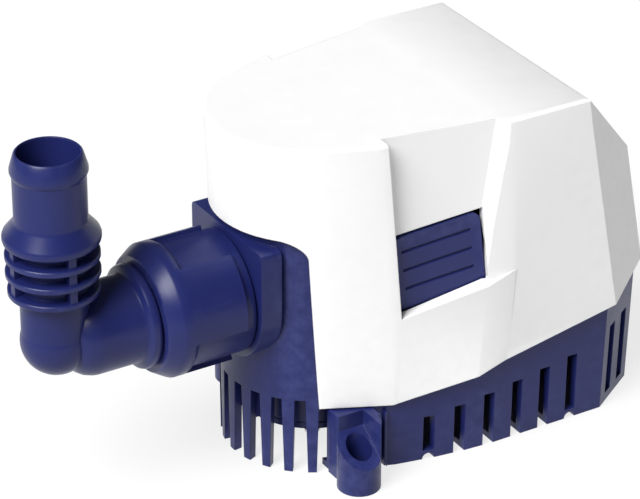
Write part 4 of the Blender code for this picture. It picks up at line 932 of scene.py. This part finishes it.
# ------------------------------------------------------------------ materials
class Nodes:
    """Short hand for building a material's node tree."""

    def __init__(self, name):
        self.mat = bpy.data.materials.new(name)
        self.mat.use_nodes = True
        self.tree = self.mat.node_tree
        self.shader = self.tree.nodes["Principled BSDF"]
        self.place = self.tree.nodes.new("ShaderNodeTexCoord").outputs["Object"]

    def node(self, kind, **inputs):
        made = self.tree.nodes.new(kind)
        for key, value in inputs.items():
            self.put(made.inputs[key.replace("_", " ")], value)
        return made

    def put(self, socket, value):
        if isinstance(value, bpy.types.NodeSocket):
            self.tree.links.new(value, socket)
        else:
            socket.default_value = value

    def noise(self, scale, detail=2.0, rough=0.5, stretch=(1.0, 1.0, 1.0)):
        mapping = self.node("ShaderNodeMapping", Vector=self.place, Scale=stretch)
        return self.node("ShaderNodeTexNoise", Vector=mapping.outputs["Vector"], Scale=scale,
                         Detail=detail, Roughness=rough).outputs["Fac"]

    def spread(self, value, low, high, start=0.3, end=0.7):
        made = self.node("ShaderNodeMapRange", Value=value)
        for key, number in zip(("From Min", "From Max", "To Min", "To Max"), (start, end, low, high)):
            made.inputs[key].default_value = number
        return made.outputs["Result"]

    def mix(self, share, first, second):
        made = self.tree.nodes.new("ShaderNodeMix")
        made.data_type = "RGBA"
        self.put(made.inputs[0], share)
        self.put(made.inputs[6], first)
        self.put(made.inputs[7], second)
        return made.outputs[2]

    def mottled(self, pattern, colour, amount):
        """The colour, a little darker and lighter with the pattern."""
        share = self.spread(pattern, 0.0, 1.0)
        return self.mix(share, shade(colour, 1.0 - amount), shade(colour, 1.0 + amount))

    def edges(self, low, high):
        """One along worn outer edges, nothing elsewhere."""
        point = self.tree.nodes.new("ShaderNodeNewGeometry").outputs["Pointiness"]
        return self.spread(point, 0.0, 1.0, low, high)

    def product(self, first, second):
        made = self.tree.nodes.new("ShaderNodeMath")
        made.operation = "MULTIPLY"
        self.put(made.inputs[0], first)
        self.put(made.inputs[1], second)
        return made.outputs[0]

    def bump(self, heights):
        """Chain (height, strength, millimetres) triples into one normal."""
        normal = self.node("ShaderNodeBevel", Radius=EDGE_ROUND * MM).outputs["Normal"]
        for height, strength, depth in heights:
            made = self.node("ShaderNodeBump", Height=height, Strength=strength,
                             Distance=depth * MM, Normal=normal)
            normal = made.outputs["Normal"]
        self.put(self.shader.inputs["Normal"], normal)

    def set(self, key, value):
        self.put(self.shader.inputs[key], value)


def shade(colour, factor):
    return tuple(min(1.0, c * factor) for c in colour) + (1.0,)


def moulded(name, colour, roughness, grain, worn, mottle, edge_share=0.5, gloss=0.5):
    """Moulded plastic: faint flow marks, fine grain, uneven gloss and rubbed edges."""
    n = Nodes(name)
    flow = n.noise(45.0, 4.0, 0.55, (1.0, 1.0, 0.45))
    body = n.mottled(flow, colour, mottle)
    patches = n.spread(n.noise(260.0, 3.0, 0.6), 0.0, edge_share, 0.35, 0.75)
    rubbed = n.product(n.edges(0.53, 0.60), patches)
    n.set("Base Color", n.mix(rubbed, body, (*worn, 1.0)))
    smear = n.noise(120.0, 5.0, 0.6)
    n.set("Roughness", n.spread(smear, roughness - 0.05, roughness + 0.06))
    n.set("Specular IOR Level", gloss)
    scuff = n.noise(900.0, 2.0, 0.5, (1.0, 1.0, 0.08))
    n.bump([(flow, 0.25, 0.05), (n.noise(2600.0, 3.0, 0.6), grain, 0.012), (scuff, 0.05, 0.01)])
    return n.mat


def metal(name, colour, roughness, stretch, grain=0.15):
    """Drawn or turned metal with its grain along one way and dull patches."""
    n = Nodes(name)
    lines = n.noise(900.0, 3.0, 0.6, stretch)
    patch = n.noise(90.0, 4.0, 0.6)
    n.set("Base Color", n.mix(n.spread(patch, 0.0, 1.0), shade(colour, 0.86), shade(colour, 1.08)))
    n.set("Metallic", 1.0)
    n.set("Roughness", n.spread(lines, roughness - 0.07, roughness + 0.1))
    n.bump([(lines, grain, 0.02)])
    return n.mat


def wound(name, colour):
    """Enamelled wire: fine turns with small differences in tone."""
    n = Nodes(name)
    wave = n.node("ShaderNodeTexWave", Vector=n.place, Scale=700.0, Distortion=1.5, Detail=2.0)
    wave.bands_direction = "Z"
    turns = wave.outputs["Fac"]
    n.set("Base Color", n.mix(turns, shade(colour, 0.55), shade(colour, 1.1)))
    n.set("Metallic", 1.0)
    n.set("Roughness", n.spread(n.noise(400.0), 0.25, 0.42))
    n.bump([(turns, 0.5, 0.15)])
    return n.mat


def matte(name, colour, roughness, grain, scale=1500.0, mottle=0.15):
    """Rubber, ferrite, carbon and board: grainy and dull."""
    n = Nodes(name)
    patch = n.noise(70.0, 5.0, 0.6)
    fine = n.noise(scale, 4.0, 0.65)
    n.set("Base Color", n.mottled(patch, colour, mottle))
    n.set("Roughness", n.spread(fine, roughness - 0.06, roughness + 0.08))
    n.bump([(fine, grain, 0.03)])
    return n.mat


def make_materials():
    return {
        "white": moulded("white_plastic_look", WHITE, 0.42, 0.10, WHITE_WORN, 0.012),
        "navy": moulded("navy_plastic_look", NAVY, 0.33, 0.12, NAVY_WORN, 0.10, 0.45, 0.27),
        "navy_tab": moulded("navy_tab_look", NAVY_TAB, 0.36, 0.14, NAVY_WORN, 0.10, 0.5, 0.30),
        "steel": metal("steel_look", (0.62, 0.62, 0.64), 0.30, (1.0, 1.0, 0.04)),
        "copper": wound("copper_look", (0.72, 0.36, 0.18)),
        "bronze": metal("bronze_look", (0.55, 0.40, 0.20), 0.42, (1.0, 1.0, 1.0), 0.3),
        "carbon": matte("carbon_look", (0.03, 0.03, 0.03), 0.55, 0.3),
        "ferrite": matte("ferrite_look", (0.06, 0.06, 0.065), 0.58, 0.4, 900.0),
        "rubber": matte("rubber_look", (0.022, 0.022, 0.023), 0.66, 0.35, 1800.0),
        "cream": moulded("cream_plastic_look", CREAM, 0.48, 0.16, CREAM_WORN, 0.04),
        "board": matte("board_look", (0.03, 0.16, 0.07), 0.42, 0.25, 1200.0, 0.10),
    }


# CAD nodes that keep their shape, by material
CARRIED = {
    "steel": ("volute_screw_1", "volute_screw_2", "volute_screw_3", "impeller_collar", "motor_shaft",
              "motor_can", "float_pin"),
    "copper": ("armature_winding_lower", "armature_winding_upper", "commutator"),
    "bronze": ("lower_bush", "upper_bush"),
    "carbon": ("brush_left", "brush_right"),
    "ferrite": ("armature_core", "magnet_left", "magnet_right", "float_magnet"),
    "rubber": ("shaft_seal", "switching_transistor", "outlet_washer", "check_valve_flap"),
    "cream": ("impeller", "motor_end_cap", "brush_holder", "float", "reed_switch",
              "check_valve_seat"),
    "board": ("circuit_board",),
}


def dress_inner_pieces(mats):
    """Better materials and soft edges for the CAD nodes that stay."""
    for key, names in CARRIED.items():
        for name in names:
            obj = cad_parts[name]
            for slot in obj.material_slots:
                slot.material = mats[key]
            soften(obj, INNER_BEVEL, INNER_ANGLE)


# ---------------------------------------------------------------------- stage
def make_floor():
    mesh = bpy.data.meshes.new("studio_floor")
    bm = bmesh.new()
    bmesh.ops.create_grid(bm, x_segments=8, y_segments=8, size=3.0)
    bm.to_mesh(mesh)
    bm.free()
    floor = bpy.data.objects.new("studio_floor", mesh)
    floor.location = (0.0, 0.0, -0.0002)
    bpy.context.scene.collection.objects.link(floor)
    n = Nodes("studio_floor_look")
    n.set("Base Color", (FLOOR_GREY, FLOOR_GREY, FLOOR_GREY, 1.0))
    n.set("Roughness", 0.9)
    n.set("Emission Color", (1.0, 1.0, 1.0, 1.0))
    n.set("Emission Strength", FLOOR_GLOW)
    mesh.materials.append(n.mat)


def make_light():
    world = bpy.data.worlds.new("studio")
    world.use_nodes = True
    background = world.node_tree.nodes["Background"]
    background.inputs["Color"].default_value = (1.0, 1.0, 1.0, 1.0)
    background.inputs["Strength"].default_value = WORLD_STRENGTH
    bpy.context.scene.world = world
    data = bpy.data.lights.new("key", "SUN")
    data.energy = SUN_ENERGY
    data.angle = math.radians(SUN_ANGLE)
    key = bpy.data.objects.new("key", data)
    key.rotation_euler = Vector(SUN_FROM).to_track_quat("Z", "Y").to_euler()
    bpy.context.scene.collection.objects.link(key)


def make_camera():
    data = bpy.data.cameras.new("camera")
    data.lens = CAMERA_LENS
    data.sensor_width = 36.0
    data.clip_start = 0.01
    camera = bpy.data.objects.new("camera", data)
    camera.location = CAMERA_AT
    camera.rotation_euler = (math.radians(CAMERA_TILT), 0.0, math.radians(CAMERA_TURN))
    bpy.context.scene.collection.objects.link(camera)
    bpy.context.scene.camera = camera


def corners(bounds):
    return [[float(number) for number in corner] for corner in bounds]


# ----------------------------------------------------------------------- main
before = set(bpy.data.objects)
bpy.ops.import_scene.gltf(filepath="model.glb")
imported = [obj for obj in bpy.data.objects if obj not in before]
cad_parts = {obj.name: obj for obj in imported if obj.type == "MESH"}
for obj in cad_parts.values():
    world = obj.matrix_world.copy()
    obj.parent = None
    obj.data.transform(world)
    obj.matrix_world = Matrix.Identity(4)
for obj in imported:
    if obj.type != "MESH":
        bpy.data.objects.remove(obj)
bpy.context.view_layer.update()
bpy.context.scene.view_settings.view_transform = "Standard"
make_camera()
make_light()
make_floor()
looks = make_materials()
make_cover(looks)
make_tabs(looks)
make_base(looks)
make_housing(looks)
make_volute_plate(looks)
make_gland(looks)
make_nut(looks)
make_elbow(looks)
dress_inner_pieces(looks)
